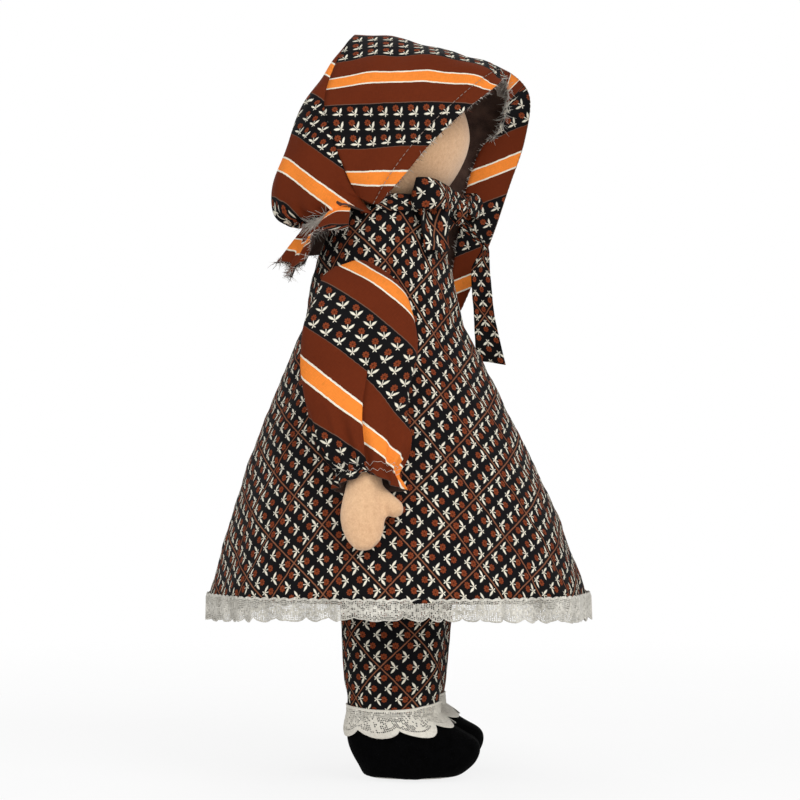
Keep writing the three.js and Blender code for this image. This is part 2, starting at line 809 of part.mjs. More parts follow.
function footRow(up, toe, heel, halfWidth, count) {
  return oval(LEG_X, (toe - heel) / 2, up, halfWidth, (toe + heel) / 2, count);
}

function bootRows() {
  const rows = bootProfile.map((station) => footRow(...station, BOOT_SIDES));
  rows.push(pole(rows.at(-1)));
  return rows;
}

// A point on the outside of the leg or boot at a height and angle
function footPoint(angle, up) {
  const [toe, heel, halfWidth] = sample(bootProfile, up);
  const front = (toe - heel) / 2 - ((toe + heel) / 2) * Math.sin(angle);
  return at(LEG_X + halfWidth * Math.cos(angle), front, up);
}

function ankleLaceRows() {
  const rows = Array.from({ length: LACE_ROWS + 1 }, (_, i) =>
    Array.from({ length: ANKLE_SIDES }, (__, j) => {
      const angle = (2 * Math.PI * j) / ANKLE_SIDES;
      const toFront = Math.max(-Math.sin(angle), 0) ** 2;
      const top = BOOT_HEIGHT + ANKLE_LACE_RISE;
      const bottom = BOOT_HEIGHT - ANKLE_LACE_DROP + ANKLE_LACE_INSTEP * toFront;
      return footPoint(angle, lerp(top, bottom, i / LACE_ROWS));
    }),
  );
  return offset(rows, (i, j) => {
    const wave = 1 + Math.cos((2 * Math.PI * ANKLE_LACE_RUFFLES * j) / ANKLE_SIDES);
    const share = i / LACE_ROWS;
    return 2 * FIT + LACE + share * (ANKLE_LACE_FLARE + (ANKLE_LACE_RUFFLE * wave) / 2);
  });
}

function addLegs() {
  const pieces = [
    ['leg_skin', shell(legRows(), CLOTH), PRINT],
    ['leg_stuffing', filling(legRows(), CLOTH + FIT), FIBRE],
    ['boot_skin', shell(bootRows(), CLOTH), FELT],
    ['boot_stuffing', filling(bootRows(), CLOTH + FIT), FIBRE],
    ['ankle_lace', shell(ankleLaceRows(), LACE), LACE_CREAM],
  ];
  for (const { name, sign } of sides) {
    for (const [piece, geometry, finish] of pieces) {
      addPiece(doll, `${piece}_${name}`, sign > 0 ? geometry : mirrored(geometry), finish);
    }
  }
}

// Arms and sleeves, in the arm's frame
const gatheredProfile = SLEEVE_SHAPE.map(([down, front, halfWidth, thickness]) => [
  down * SLEEVE_LENGTH,
  front,
  halfWidth * SLEEVE_HALF_WIDTH,
  thickness * SLEEVE_THICKNESS,
]);
const cuff = gatheredProfile.at(-1);
const frillFlare = [CUFF_FRILL, 0, CUFF_FLARE, CUFF_FLARE];
const sleeveProfile = [...gatheredProfile, cuff.map((size, column) => size + frillFlare[column])];

function sleeveRow(down) {
  const [front, halfWidth, thickness] = sample(sleeveProfile, down);
  const gather = THREE.MathUtils.smoothstep(down, SLEEVE_LENGTH / 2, SLEEVE_LENGTH);
  return Array.from({ length: SLEEVE_SIDES }, (_, index) => {
    const angle = (2 * Math.PI * index) / SLEEVE_SIDES;
    const flute = CUFF_FLUTE_DEPTH * gather * Math.cos(CUFF_FLUTES * angle);
    const out = thickness / 2 + (thickness / 2 + flute) * Math.cos(angle);
    return at(Math.max(out, 0), front - (halfWidth + flute) * Math.sin(angle), -down);
  });
}

function sleeveRows() {
  const rows = sleeveProfile.map(([down]) => sleeveRow(down)).reverse();
  rows.push(pole(rows.at(-1)));
  return rows;
}

function cuffElastic() {
  const downs = [SLEEVE_LENGTH + ELASTIC_WIDTH / 2, SLEEVE_LENGTH, SLEEVE_LENGTH - ELASTIC_WIDTH / 2];
  return shell(offset(downs.map(sleeveRow), -CLOTH - FIT), ELASTIC);
}

function armRows() {
  const stations = ARM_SHAPE.map(([down, front, halfWidth, thickness]) => [
    ARM_TOP + down * ARM_LENGTH,
    front,
    halfWidth * ARM_HALF_WIDTH,
    thickness * ARM_THICKNESS,
  ]);
  const rows = stations.map(([down, front, halfWidth, thickness]) => {
    const inSleeve = sample(sleeveProfile, down)[2] / 2;
    const onHand = THREE.MathUtils.smoothstep(down, SLEEVE_LENGTH, SLEEVE_LENGTH + 3 * CUFF_FRILL);
    const out = lerp(inSleeve, ARM_THICKNESS / 2, onHand);
    return oval(out, front, -down, thickness / 2, halfWidth, LIMB_SIDES);
  });
  rows.push(pole(rows.at(-1), at(0, 0, -ARM_LENGTH * (1 - ARM_SHAPE.at(-1)[0]))));
  return rows;
}

function thumb(inset) {
  return new THREE.CapsuleGeometry(THUMB_RADIUS - inset, THUMB_LENGTH, THUMB_CAP_STEPS, THUMB_SIDES)
    .rotateX(Math.PI / 2)
    .rotateX(-THUMB_ANGLE)
    .translate(ARM_THICKNESS / 2, -THUMB_FRONT, -THUMB_DROP);
}

// The hollow of the arm, carried on up past its open end
function armHollow() {
  const inner = offset(armRows(), -CLOTH);
  const mouth = inner[0].map((point) => point.clone().add(at(0, 0, ARM_TOP)));
  return filling([mouth, ...inner], 0);
}

function addArms() {
  const outside = join([filling(armRows(), 0), thumb(0)]);
  const skin = cut(outside, [armHollow(), thumb(CLOTH)]);
  const stuffing = join([filling(armRows(), CLOTH + FIT), thumb(CLOTH + FIT)]);
  const armOpening = armholePlug(ARMHOLE_RADIUS + ARMHOLE_EASE, -SLEEVE_THICKNESS, SLEEVE_THICKNESS / 4);
  const sleeve = cut(shell(sleeveRows(), CLOTH), [armOpening]);
  const pieces = [
    ['shoulder_tab', shoulderTab(), FLESH],
    ['arm_skin', skin, FLESH],
    ['arm_stuffing', stuffing, FIBRE],
    ['sleeve', sleeve, STRIPE],
    ['cuff_elastic', cuffElastic(), ELASTIC_WHITE],
  ];
  for (const { name, sign } of sides) {
    const frame = armFrame(sign);
    for (const [piece, geometry, finish] of pieces) {
      addPiece(frame, `${piece}_${name}`, sign > 0 ? geometry : mirrored(geometry), finish);
    }
    doll.add(frame);
  }
}

// Bonnet, in head sizes from the head's middle
function headPoint([side, front, up]) {
  return at(
    side * (HEAD_HALF_WIDTH + BONNET_EASE),
    HEAD_FRONT + front * (HEAD_HALF_DEPTH + BONNET_EASE),
    HEAD_Z + up * (HEAD_HALF_HEIGHT + BONNET_EASE),
  );
}

const headMiddle = at(0, HEAD_FRONT, HEAD_Z);
const seamLine = smooth(BRIM_SEAM, BRIM_STEPS).map(headPoint);

// Brim rows run from the crown seam to the raw edge, round the fold
function brimRows() {
  const full = smooth(BRIM_FULL, BRIM_STEPS).map(headPoint);
  const fold = smooth(BRIM_FOLD, BRIM_STEPS).map(headPoint);
  const edge = smooth(BRIM_EDGE, BRIM_STEPS).map(headPoint);
  return seamLine.map((seam, i) => {
    const curve = new THREE.QuadraticBezierCurve3(
      seam,
      full[i].clone().multiplyScalar(2).sub(seam.clone().add(fold[i]).multiplyScalar(0.5)),
      fold[i],
    );
    const back = edge[i].clone().sub(fold[i]).normalize();
    const turn = fold[i].clone().addScaledVector(back, BONNET_TURN_GAP);
    return [...curve.getPoints(BRIM_COLUMNS), turn, turn.clone().lerp(edge[i], 0.5), edge[i]];
  });
}

// The nape gather from right to left, t from 0 to 1
function napePoint(t, out = 0, down = 0) {
  const angle = Math.PI * t;
  const side = -(NAPE_HALF_WIDTH + out) * Math.cos(angle);
  const back = lerp(NAPE_BACK / 2, NAPE_BACK, Math.sin(angle)) + out * Math.sin(angle);
  return at(side, HEAD_FRONT - back, HEAD_Z - NAPE_DROP - down);
}

function crownRows() {
  const last = seamLine.length - 1;
  const seamTop = Math.max(...seamLine.map((seam) => seam.z));
  return Array.from({ length: CROWN_ROWS + 1 }, (_, i) =>
    seamLine.map((seam, j) => {
      const t = j / last;
      const puff = Math.sin(Math.PI * t);
      const start = seam.clone().add(at(0, -FIT - CLOTH, 0));
      const end = napePoint(t);
      const crest = Math.max((seam.z - HEAD_Z) / (seamTop - HEAD_Z), 0) ** 2;
      const curve = new THREE.CubicBezierCurve3(
        start,
        start.clone().add(at(0, -lerp(CROWN_PUFF, CREST_PUFF, crest), -CREST_DROP * crest)),
        end.clone().add(at(0, -CROWN_BAG * puff, -CROWN_DROOP * puff)),
        end,
      );
      return curve.getPoint(i / CROWN_ROWS);
    }),
  );
}

function frillRows() {
  return Array.from({ length: FRILL_ROWS + 1 }, (_, i) =>
    Array.from({ length: NAPE_STEPS + 1 }, (__, j) => {
      const t = j / NAPE_STEPS;
      const share = i / FRILL_ROWS;
      const drop = lerp(FRILL_END_DROP, FRILL_DROP, Math.sin(Math.PI * t) ** 2);
      const fold = FRILL_FOLD_DEPTH * share * Math.cos(2 * Math.PI * FRILL_FOLDS * t);
      return napePoint(t, share * FRILL_FLARE + fold, FIT + CLOTH + share * drop);
    }),
  );
}

// Elastic inside the nape gather
function napeElasticRows() {
  const half = ELASTIC_WIDTH / 2;
  return [-half, 0, half].map((down) =>
    Array.from({ length: NAPE_STEPS + 1 }, (_, j) => napePoint(j / NAPE_STEPS, -CLOTH - FIT, down)),
  );
}

function addBonnet() {
  addPiece(doll, 'bonnet_brim', shell(brimRows(), CLOTH, false, headMiddle), STRIPE);
  addPiece(doll, 'bonnet_crown', shell(crownRows(), CLOTH, false, headMiddle), STRIPE);
  addPiece(doll, 'bonnet_frill', shell(frillRows(), CLOTH, false, headMiddle), STRIPE);
  addPiece(doll, 'bonnet_nape_elastic', shell(napeElasticRows(), ELASTIC, false, headMiddle), ELASTIC_WHITE);
}

// Bow at the neckline, in front of the bodice
const TIE_RADIUS = NECKLINE_RADIUS + TIE_EASE;
const KNOT_Z = NECKLINE_Z - KNOT_DROP;
const KNOT_SEAT = lean(KNOT_Z) + sample(bodiceProfile, KNOT_Z)[0] - hollow(KNOT_Z);
const KNOT_FRONT = KNOT_SEAT + FIT + KNOT_HALF_DEPTH;
const knotMiddle = at(KNOT_SIDE, KNOT_FRONT, KNOT_Z);

function knot(grow) {
  return new THREE.SphereGeometry(1, KNOT_SIDES, KNOT_SIDES / 2)
    .scale(KNOT_HALF_WIDTH + grow, KNOT_HALF_DEPTH + grow, KNOT_HALF_HEIGHT + grow)
    .translate(...knotMiddle);
}

// A ribbon through rows of side, front, up and width measured from the knot, its width lying front to back
function ribbon(stations) {
  const rows = smooth(stations, RIBBON_STEPS).map(([side, front, up, width]) => {
    const centre = at(side, front, up).add(knotMiddle);
    return [-1, 0, 1].map((share) => centre.clone().add(at(0, (share * width) / 2, 0)));
  });
  return cut(shell(rows, RIBBON, false, headMiddle), [knot(FIT)]);
}

// Tie from the bonnet's corner round the neckline into the knot
function tieRows(sign) {
  return Array.from({ length: TIE_STEPS + 1 }, (_, i) => {
    const share = i / TIE_STEPS;
    const angle = lerp(sign > 0 ? -TIE_START : Math.PI + TIE_START, Math.PI / 2, share);
    const radius = lerp(TIE_RADIUS, KNOT_FRONT + BODY_LEAN, share ** TIE_LATE);
    const up = lerp(NECKLINE_Z + TIE_RISE, KNOT_Z, share);
    return [-1, 0, 1].map((edge) =>
      at(radius * Math.cos(angle), radius * Math.sin(angle) - BODY_LEAN, up + (edge * TIE_WIDTH) / 2),
    );
  });
}

// A loop of ribbon standing on edge, from the knot's middle out to its round end
function bowLoop(side, front, up) {
  const length = Math.hypot(side, front);
  const outline = new THREE.Shape();
  drawLoop(outline, length, 0);
  const hole = new THREE.Path();
  drawLoop(hole, length, RIBBON);
  outline.holes.push(hole);
  const options = { depth: BOW_WIDTH, bevelEnabled: false, curveSegments: LOOP_STEPS };
  const loop = new THREE.ExtrudeGeometry(outline, options)
    .rotateZ(Math.atan2(-front, side))
    .translate(0, -LOOP_FORWARD, up)
    .translate(...knotMiddle);
  return cut(loop, [knot(FIT)]);
}

function drawLoop(path, length, inset) {
  const end = length - LOOP_OPENING / 2;
  const half = LOOP_OPENING / 2 - inset;
  path.moveTo(LOOP_START + inset, -half / 2);
  path.lineTo(end, -half);
  path.absarc(end, 0, half, -Math.PI / 2, Math.PI / 2, false);
  path.lineTo(LOOP_START + inset, half / 2);
  path.closePath();
}

function addBow() {
  addPiece(doll, 'bow_knot', knot(0), PRINT);
  for (const { name, sign } of sides) {
    const tie = cut(shell(tieRows(sign), RIBBON, false, at(0, -BODY_LEAN, NECKLINE_Z)), [knot(FIT)]);
    addPiece(doll, `bonnet_tie_${name}`, tie, PRINT);
  }
  addPiece(doll, 'bow_loop_right', bowLoop(...LOOP_RIGHT), PRINT);
  addPiece(doll, 'bow_loop_left', bowLoop(...LOOP_LEFT), PRINT);
  addPiece(doll, 'bow_tail_right', ribbon(TAIL_RIGHT), PRINT);
  addPiece(doll, 'bow_tail_left', ribbon(TAIL_LEFT), PRINT);
}

addTorso();
addNeck();
addHead();
addDress();
addHemLace();
addLegs();
addArms();
addBonnet();
addBow();

export default doll;
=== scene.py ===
"""Looks of the cloth doll: printed cotton, lace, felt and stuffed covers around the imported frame."""

import math

import bmesh
import bpy
import numpy as np
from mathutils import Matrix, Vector


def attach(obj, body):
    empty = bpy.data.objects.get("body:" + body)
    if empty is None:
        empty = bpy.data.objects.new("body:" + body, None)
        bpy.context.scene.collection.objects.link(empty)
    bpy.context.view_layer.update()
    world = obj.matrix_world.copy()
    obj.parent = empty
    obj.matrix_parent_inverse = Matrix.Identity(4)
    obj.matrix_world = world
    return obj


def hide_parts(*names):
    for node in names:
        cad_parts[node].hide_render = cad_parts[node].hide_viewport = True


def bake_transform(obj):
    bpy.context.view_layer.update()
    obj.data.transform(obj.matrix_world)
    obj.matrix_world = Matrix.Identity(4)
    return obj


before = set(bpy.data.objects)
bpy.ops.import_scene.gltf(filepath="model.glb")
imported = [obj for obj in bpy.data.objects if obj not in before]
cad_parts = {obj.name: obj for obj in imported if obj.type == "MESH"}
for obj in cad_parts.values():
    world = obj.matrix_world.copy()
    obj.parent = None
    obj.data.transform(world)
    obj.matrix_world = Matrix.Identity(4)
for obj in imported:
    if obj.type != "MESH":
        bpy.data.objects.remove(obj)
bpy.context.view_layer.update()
scene = bpy.context.scene

MM = 0.001
TAU = 2 * math.pi
SIDES = (("right", -1), ("left", 1))

# Sizes of the frame in millimetres
HEM_Z, WAIST_Z, SHOULDER_Z, NECKLINE_Z = 108.3, 274.3, 316.3, 347
HEM_RADIUS, WAIST_RADIUS, SHOULDER_RADIUS, NECKLINE_RADIUS = 116, 55, 45.5, 34
BODY_LEAN, FRONT_HOLLOW = 6, 10.5
HEAD_Z, HEAD_FRONT, HEAD_HALF, HEAD_HALF_WIDTH = 390.3, -2, 46, 42
NECK_PIVOT_Z, NECK_RADIUS, NECK_HOLE_RADIUS = 358.3, 15, 20
HIP_Z, LEG_LENGTH, LEG_X, LEG_SETBACK = 190, 150, 30.6, 1.5
ARM_X, ARM_FRONT, ARM_Z = 49.749, -16.288, 310.7
ARM_SLOPE = math.radians(19)
ARMHOLE_DROP, ARMHOLE_RADIUS = 18, 12.5
CUFF_DOWN, SLEEVE_LENGTH, HAND_OUT = 137, 147, 8
NAPE_DROP, NAPE_HALF_WIDTH, NAPE_CORNER_BACK, NAPE_BACK = 43, 38.5, 24.5, 49
BONNET_HALF_WIDTH, BONNET_HALF = 44.5, 48.5
CLOTH = 0.5


# Points and grids
def at(side, front, up):
    """A point by its distances to the doll's left, to its front and up."""
    side, front, up = np.broadcast_arrays(side, front, up)
    return np.stack([side, -front, up], axis=-1).astype(float)


def lerp(a, b, t):
    return a + (b - a) * t


def step(low, high, x):
    t = np.clip((np.asarray(x, float) - low) / (high - low), 0, 1)
    return t * t * (3 - 2 * t)


def smooth(rows, steps):
    """Catmull-Rom rows of numbers through the given ones."""
    rows = np.array(rows, float)
    padded = np.concatenate([rows[:1], rows, rows[-1:]])
    result = []
    for a, b, c, d in zip(padded, padded[1:], padded[2:], padded[3:]):
        for t in np.arange(steps) / steps:
            m, n = (c - a) / 2, (d - b) / 2
            cubic = 2 * b - 2 * c + m + n
            square = 3 * c - 3 * b - 2 * m - n
            result.append(((cubic * t + square) * t + m) * t + b)
    return np.array(result + [rows[-1]])


def column(rows, x, index):
    """One column of smooth rows at the given first column."""
    rows = rows if rows[-1][0] > rows[0][0] else rows[::-1]
    return np.interp(x, rows[:, 0], rows[:, index])


def ring_angles(count):
    """Angles of points spread evenly around a ring."""
    return TAU * np.arange(count) / count


def bell(x, middle, width):
    return np.exp(-(((x - middle) / width) ** 2))


def unit(v):
    return v / np.maximum(np.linalg.norm(v, axis=-1, keepdims=True), 1e-9)


def mirrored(points, sign):
    return points * [sign, 1, 1]


def soft_noise(points, size, seed):
    """Smooth noise of about -1.5 to 1.5 with bumps of that size."""
    rng = np.random.default_rng(seed)
    total = np.zeros(np.shape(points)[:-1])
    for _ in range(7):
        way = rng.normal(size=np.shape(points)[-1])
        way *= rng.uniform(0.6, 1.4) * TAU / size / np.linalg.norm(way)
        total += np.sin(points @ way + rng.uniform(0, TAU))
    return total / math.sqrt(7)


def grid_normals(grid, wrap, core):
    """Unit normals of a grid, away from the core."""
    if wrap:
        across = np.roll(grid, -1, 1) - np.roll(grid, 1, 1)
    else:
        across = np.gradient(grid, axis=1)
    normal = unit(np.cross(np.gradient(grid, axis=0), across))
    facing = np.sum(normal * (grid - core))
    return normal if facing > 0 else -normal


def pushed(grid, amount, wrap, core=None):
    """A grid moved outwards."""
    core = grid.reshape(-1, 3).mean(0) if core is None else core
    return grid + grid_normals(grid, wrap, core) * np.asarray(amount)[..., None]


def arc(grid, axis):
    """Lengths along a grid from its start."""
    length = np.linalg.norm(np.diff(grid, axis=axis), axis=-1)
    start = np.zeros_like(np.take(length, [0], axis))
    return np.cumsum(np.concatenate([start, length], axis), axis)


# Meshes
def new_object(name, points, faces, materials, uv=None):
    mesh = bpy.data.meshes.new(name)
    mesh.from_pydata((np.asarray(points) * MM).tolist(), [], [list(map(int, f)) for f in faces])
    if uv is not None:
        layer = mesh.uv_layers.new(name="cloth")
        layer.data.foreach_set("uv", (np.asarray(uv) * MM).astype(np.float32).ravel())
    for material in materials:
        mesh.materials.append(material)
    mesh.polygons.foreach_set("use_smooth", [True] * len(mesh.polygons))
    mesh.update()
    obj = bpy.data.objects.new(name, mesh)
    scene.collection.objects.link(obj)
    return obj


def at_corners(values, rows, width):
    """The values at the four corners of each face of a grid."""
    i, j = np.meshgrid(np.arange(rows - 1), np.arange(width), indexing="ij")
    return np.stack([values[a, b] for a, b in ((i, j), (i + 1, j), (i + 1, j + 1), (i, j + 1))], 2)


def grid_object(name, grid, materials, uv=None, wrap=False, core=None, keep=None, caps=()):
    """A mesh from a grid of points, facing away from the core. uv holds a point for each one of the grid,
    with one more column where it wraps, or the four corners of each face. keep says which faces stay, and
    caps which rows of points get a closing face."""
    rows, cols = grid.shape[:2]
    core = grid.reshape(-1, 3).mean(0) if core is None else core
    width = cols if wrap else cols - 1
    number = np.arange(rows * cols).reshape(rows, cols)
    faces = at_corners(np.concatenate([number, number[:, :1]], 1), rows, width)
    texture = uv
    if uv is not None and uv.ndim == 3:
        texture = at_corners(uv, rows, width)
    normal = np.cross(np.gradient(grid, axis=0), np.gradient(grid, axis=1))
    flipped = np.sum(normal * (grid - core)) < 0
    if flipped:
        faces = faces[..., ::-1]
        texture = None if texture is None else texture[..., ::-1, :]
    chosen = np.ones(faces.shape[:2], bool) if keep is None else keep
    faces = faces[chosen]
    texture = None if texture is None else texture[chosen]
    points = grid.reshape(-1, 3)
    used, inverse = np.unique(faces, return_inverse=True)
    faces = inverse.reshape(faces.shape)
    polygons = faces.tolist()
    loops = [] if texture is None else [texture.reshape(-1, 2)]
    for row in caps:
        ring = [int(np.searchsorted(used, row % rows * cols + c)) for c in range(cols)]
        polygons.append(ring if (row == 0) != flipped else ring[::-1])
        if texture is not None:
            loops.append(np.zeros((cols, 2)))
    return new_object(name, points[used], polygons, materials, np.concatenate(loops) if loops else None)


def thicken(obj, thickness, inner_material=1, offset=-1):
    """Cloth thickness, with the wrong side's material inside."""
    solid = obj.modifiers.new("thickness", "SOLIDIFY")
    solid.thickness = thickness * MM
    solid.offset = offset
    solid.material_offset = inner_material
    solid.material_offset_rim = inner_material
    return obj


def subdivide(obj, levels=1):
    sub = obj.modifiers.new("smooth", "SUBSURF")
    sub.levels = sub.render_levels = levels


def tubes(name, lines, radius, material, sides=5):
    """Thin threads along lines of points; the radius may be one number for each line."""
    points, faces, start = [], [], 0
    radii = np.broadcast_to(radius, len(lines))
    for line, r in zip(lines, radii):
        line = np.asarray(line, float)
        along = unit(np.gradient(line, axis=0))
        pick = np.array([0.31, 0.42, 0.85])
        if abs(along[0] @ pick) > 0.9:
            pick = np.array([1.0, 0, 0])
        one = unit(np.cross(along, pick))
        two = np.cross(along, one)
        angle = ring_angles(sides)[None, :, None]
        size = np.full(len(line), r)
        size[[0, -1]] *= 0.45
        ring = np.cos(angle) * one[:, None] + np.sin(angle) * two[:, None]
        points.append((line[:, None] + ring * size[:, None, None]).reshape(-1, 3))
        for i in range(len(line) - 1):
            for j in range(sides):
                k = (j + 1) % sides
                a, b = start + i * sides, start + (i + 1) * sides
                faces.append((a + j, a + k, b + k, b + j))
        faces.append(tuple(range(start + sides - 1, start - 1, -1)))
        last = start + (len(line) - 1) * sides
        faces.append(tuple(range(last, last + sides)))
        start += len(line) * sides
    return new_object(name, np.concatenate(points), faces, [material])


def inflate(obj, cap, pressure=4.0):
    """Swells a stuffed cover with Blender's cloth pressure, no point further than the cap."""
    rest = np.zeros(len(obj.data.vertices) * 3)
    obj.data.vertices.foreach_get("co", rest)
    cloth = obj.modifiers.new("cloth", "CLOTH")
    settings = cloth.settings
    settings.quality = 6
    settings.mass = 0.2
    settings.tension_stiffness = settings.compression_stiffness = 20
    settings.shear_stiffness = 10
    settings.bending_stiffness = 1.0
    settings.use_pressure = True
    settings.uniform_pressure_force = pressure
    settings.effector_weights.gravity = 0
    for number in range(1, 21):
        scene.frame_set(number)
    moved = np.zeros_like(rest)
    shaped = obj.evaluated_get(bpy.context.evaluated_depsgraph_get())
    shaped.data.vertices.foreach_get("co", moved)
    obj.modifiers.remove(cloth)
    scene.frame_set(1)
    shift = (moved - rest).reshape(-1, 3)
    length = np.linalg.norm(shift, axis=1, keepdims=True)
    shift *= np.minimum(1, cap * MM / np.maximum(length, 1e-9))
    obj.data.vertices.foreach_set("co", rest + shift.ravel())
    obj.data.update()


def belongs(obj, body, slot, *nodes):
    """The body that a piece moves with, its material slot, which is not used, and the solids that it stands
    for.
    """
    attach(obj, body)
    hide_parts(*nodes)


# Materials
def linear(*rgb):
    """A colour from its sRGB bytes."""
    shares = [v / 255 for v in rgb]
    return tuple(c / 12.92 if c <= 0.04045 else ((c + 0.055) / 1.055) ** 2.4 for c in shares) + (1,)


class Value:
    """A number in a material's node tree, with the usual arithmetic."""

    def __init__(self, tree, socket):
        self.tree, self.socket = tree, socket

    def op(self, operation, *others, clamp=False):
        node = self.tree.nodes.new("ShaderNodeMath")
        node.operation, node.use_clamp = operation, clamp
        for slot, value in zip(node.inputs, (self, *others)):
            put(self.tree, slot, value)
        return Value(self.tree, node.outputs[0])

    def __add__(self, other):
        return self.op("ADD", other)

    def __sub__(self, other):
        return self.op("SUBTRACT", other)

    def __mul__(self, other):
        return self.op("MULTIPLY", other)

    def below(self, edge, soft):
        """1 under the edge and 0 over it."""
        return self.op("MULTIPLY_ADD", -0.5 / soft, 0.5 + edge * 0.5 / soft, clamp=True)

    def wrapped(self, period):
        return self.op("FLOORED_MODULO", period)


def put(tree, slot, value):
    if isinstance(value, Value):
        tree.links.new(value.socket, slot)
    elif isinstance(value, bpy.types.NodeSocket):
        tree.links.new(value, slot)
    else:
        slot.default_value = value


def add_node(tree, kind, inputs=None, **settings):
    node = tree.nodes.new(kind)
    for key, value in settings.items():
        setattr(node, key, value)
    for key, value in (inputs or {}).items():
        put(tree, node.inputs[key], value)
    return node


def mix(tree, factor, first, second):
    node = add_node(tree, "ShaderNodeMix", data_type="RGBA")
    put(tree, node.inputs["Factor"], factor)
    put(tree, node.inputs["A"], first)
    put(tree, node.inputs["B"], second)
    return node.outputs["Result"]


def noise(tree, vector, scale, detail=2.0):
    node = add_node(tree, "ShaderNodeTexNoise", {"Vector": vector, "Scale": scale, "Detail": detail})
    return Value(tree, node.outputs["Fac"])


def new_material(name, roughness, sheen):
    material = bpy.data.materials.new(name)
    material.use_nodes = True
    tree = material.node_tree
    shader = tree.nodes["Principled BSDF"]
    shader.inputs["Roughness"].default_value = roughness
    shader.inputs["Sheen Weight"].default_value = sheen
    shader.inputs["Sheen Roughness"].default_value = 0.6
    shader.inputs["Specular IOR Level"].default_value = 0.1
    return material, tree, shader


def paint(tree, shader, factor, dark, light):
    tree.links.new(mix(tree, factor, dark, light), shader.inputs["Base Color"])


def stepped_ramp(tree, factor, bands):
    """Bands of plain colour, each given by its start from 0 to 1 and its colour."""
    ramp = add_node(tree, "ShaderNodeValToRGB", {"Fac": factor})
    ramp.color_ramp.interpolation = "CONSTANT"
    elements = ramp.color_ramp.elements
    while len(elements) < len(bands):
        elements.new(1.0)
    for element, (start, colour) in zip(elements, bands):
        element.position, element.color = start, colour
    return ramp.outputs["Color"]


def object_place(tree):
    return add_node(tree, "ShaderNodeTexCoord").outputs["Object"]


def cloth_place(tree):
    """Millimetres along and across the cloth, and the same as a vector."""
    uv = add_node(tree, "ShaderNodeUVMap", uv_map="cloth").outputs["UV"]
    scaled = add_node(tree, "ShaderNodeVectorMath", {0: uv, "Scale": 1000.0}, operation="SCALE").outputs[0]
    wobble = add_node(tree, "ShaderNodeTexNoise", {"Vector": scaled, "Scale": 0.35, "Detail": 3.0})
    centred = {0: wobble.outputs["Color"], 1: (0.5, 0.5, 0.5)}
    shift = add_node(tree, "ShaderNodeVectorMath", centred, operation="SUBTRACT").outputs[0]
    shifted = {0: shift, 1: (0.7, 0.7, 0), 2: scaled}
    moved = add_node(tree, "ShaderNodeVectorMath", shifted, operation="MULTIPLY_ADD").outputs[0]
    parts = add_node(tree, "ShaderNodeSeparateXYZ", {0: moved})
    return Value(tree, parts.outputs[0]), Value(tree, parts.outputs[1]), scaled


def weave(tree, place, pitch=0.5):
    """Height of a plain weave in the cloth's millimetres."""
    parts = add_node(tree, "ShaderNodeSeparateXYZ", {0: place})
    waves = [(Value(tree, out) * (TAU / pitch)).op("SINE") for out in parts.outputs[:2]]
    return waves[0] * waves[1]


def bump(tree, shader, height, strength, distance):
    inputs = {"Height": height, "Strength": strength, "Distance": distance * MM}
    node = add_node(tree, "ShaderNodeBump", inputs)
    tree.links.new(node.outputs[0], shader.inputs["Normal"])


def turn(u, v, angle):
    c, s = math.cos(angle), math.sin(angle)
    return u * c + v * s, v * c - u * s


def sprig(p, q):
    """Masks of a sprig's leaves, flower and the flower's dark lines, its flower towards +p."""
    side = q.op("ABSOLUTE")

    def leaf(along, across, half_length, half_width, angle):
        a, b = turn(p - along, side - across, angle)
        a = a * (1 / half_length)
        width = a * a * -half_width + half_width
        return (b.op("ABSOLUTE") - width).below(0, 0.1)

    stem = side.below(0.2, 0.1) * p.below(0.5, 0.1) * (p * -1).below(2.9, 0.1)
    leaves = leaf(-1.05, 1.9, 2.2, 0.66, math.radians(53))
    leaves = leaves.op("MAXIMUM", leaf(-3.15, 0.6, 0.8, 0.3, math.radians(141)))
    leaves = leaves.op("MAXIMUM", stem)
    x = p - 2.2
    away = (x * x + q * q).op("SQRT")
    rays = (q.op("ARCTAN2", x) * 4).op("COSINE")
    petals = rays.op("MULTIPLY", rays)
    flower = (away - petals * 0.35).below(1.6, 0.15)
    lines = (petals.below(0.22, 0.16) * 0.6).op("MAXIMUM", away.below(0.55, 0.15) * 0.8)
    return leaves, flower, lines


def print_finish(tree, shader, colour, place):
    """Faded and threaded colour, with the weave as bump."""
    stretches = [(0.25, 2.2, 1), (2.2, 0.25, 1)]
    mapped = [add_node(tree, "ShaderNodeMapping", {0: place, "Scale": s}).outputs[0] for s in stretches]
    threads, picks = (noise(tree, vector, 1.0, 3.0) for vector in mapped)
    patches = noise(tree, place, 0.03)
    level = (threads + picks) * 0.35 + patches * 0.25 + 0.53
    hue = add_node(tree, "ShaderNodeHueSaturation", {"Color": colour, "Value": level})
    tree.links.new(hue.outputs[0], shader.inputs["Base Color"])
    height = weave(tree, place) * 0.5 + (threads + picks) * 0.8
    bump(tree, shader, height, 0.35, 0.25)


BROWN = linear(104, 42, 18)
ORANGE = linear(250, 142, 56)
BLACK = linear(15, 14, 16)
CREAM = linear(243, 237, 218)
RUST = linear(140, 66, 36)
RUST_DARK = linear(62, 27, 18)
TRELLIS_LINE = linear(142, 90, 64)
STRIPE_EDGE = linear(112, 84, 70)


def sprig_colours(tree, ground, masks, soften):
    leaves, flower, lines = masks
    petals = mix(tree, lines, RUST, RUST_DARK)
    colour = mix(tree, flower * soften, ground, petals)
    return mix(tree, leaves * soften, colour, CREAM)


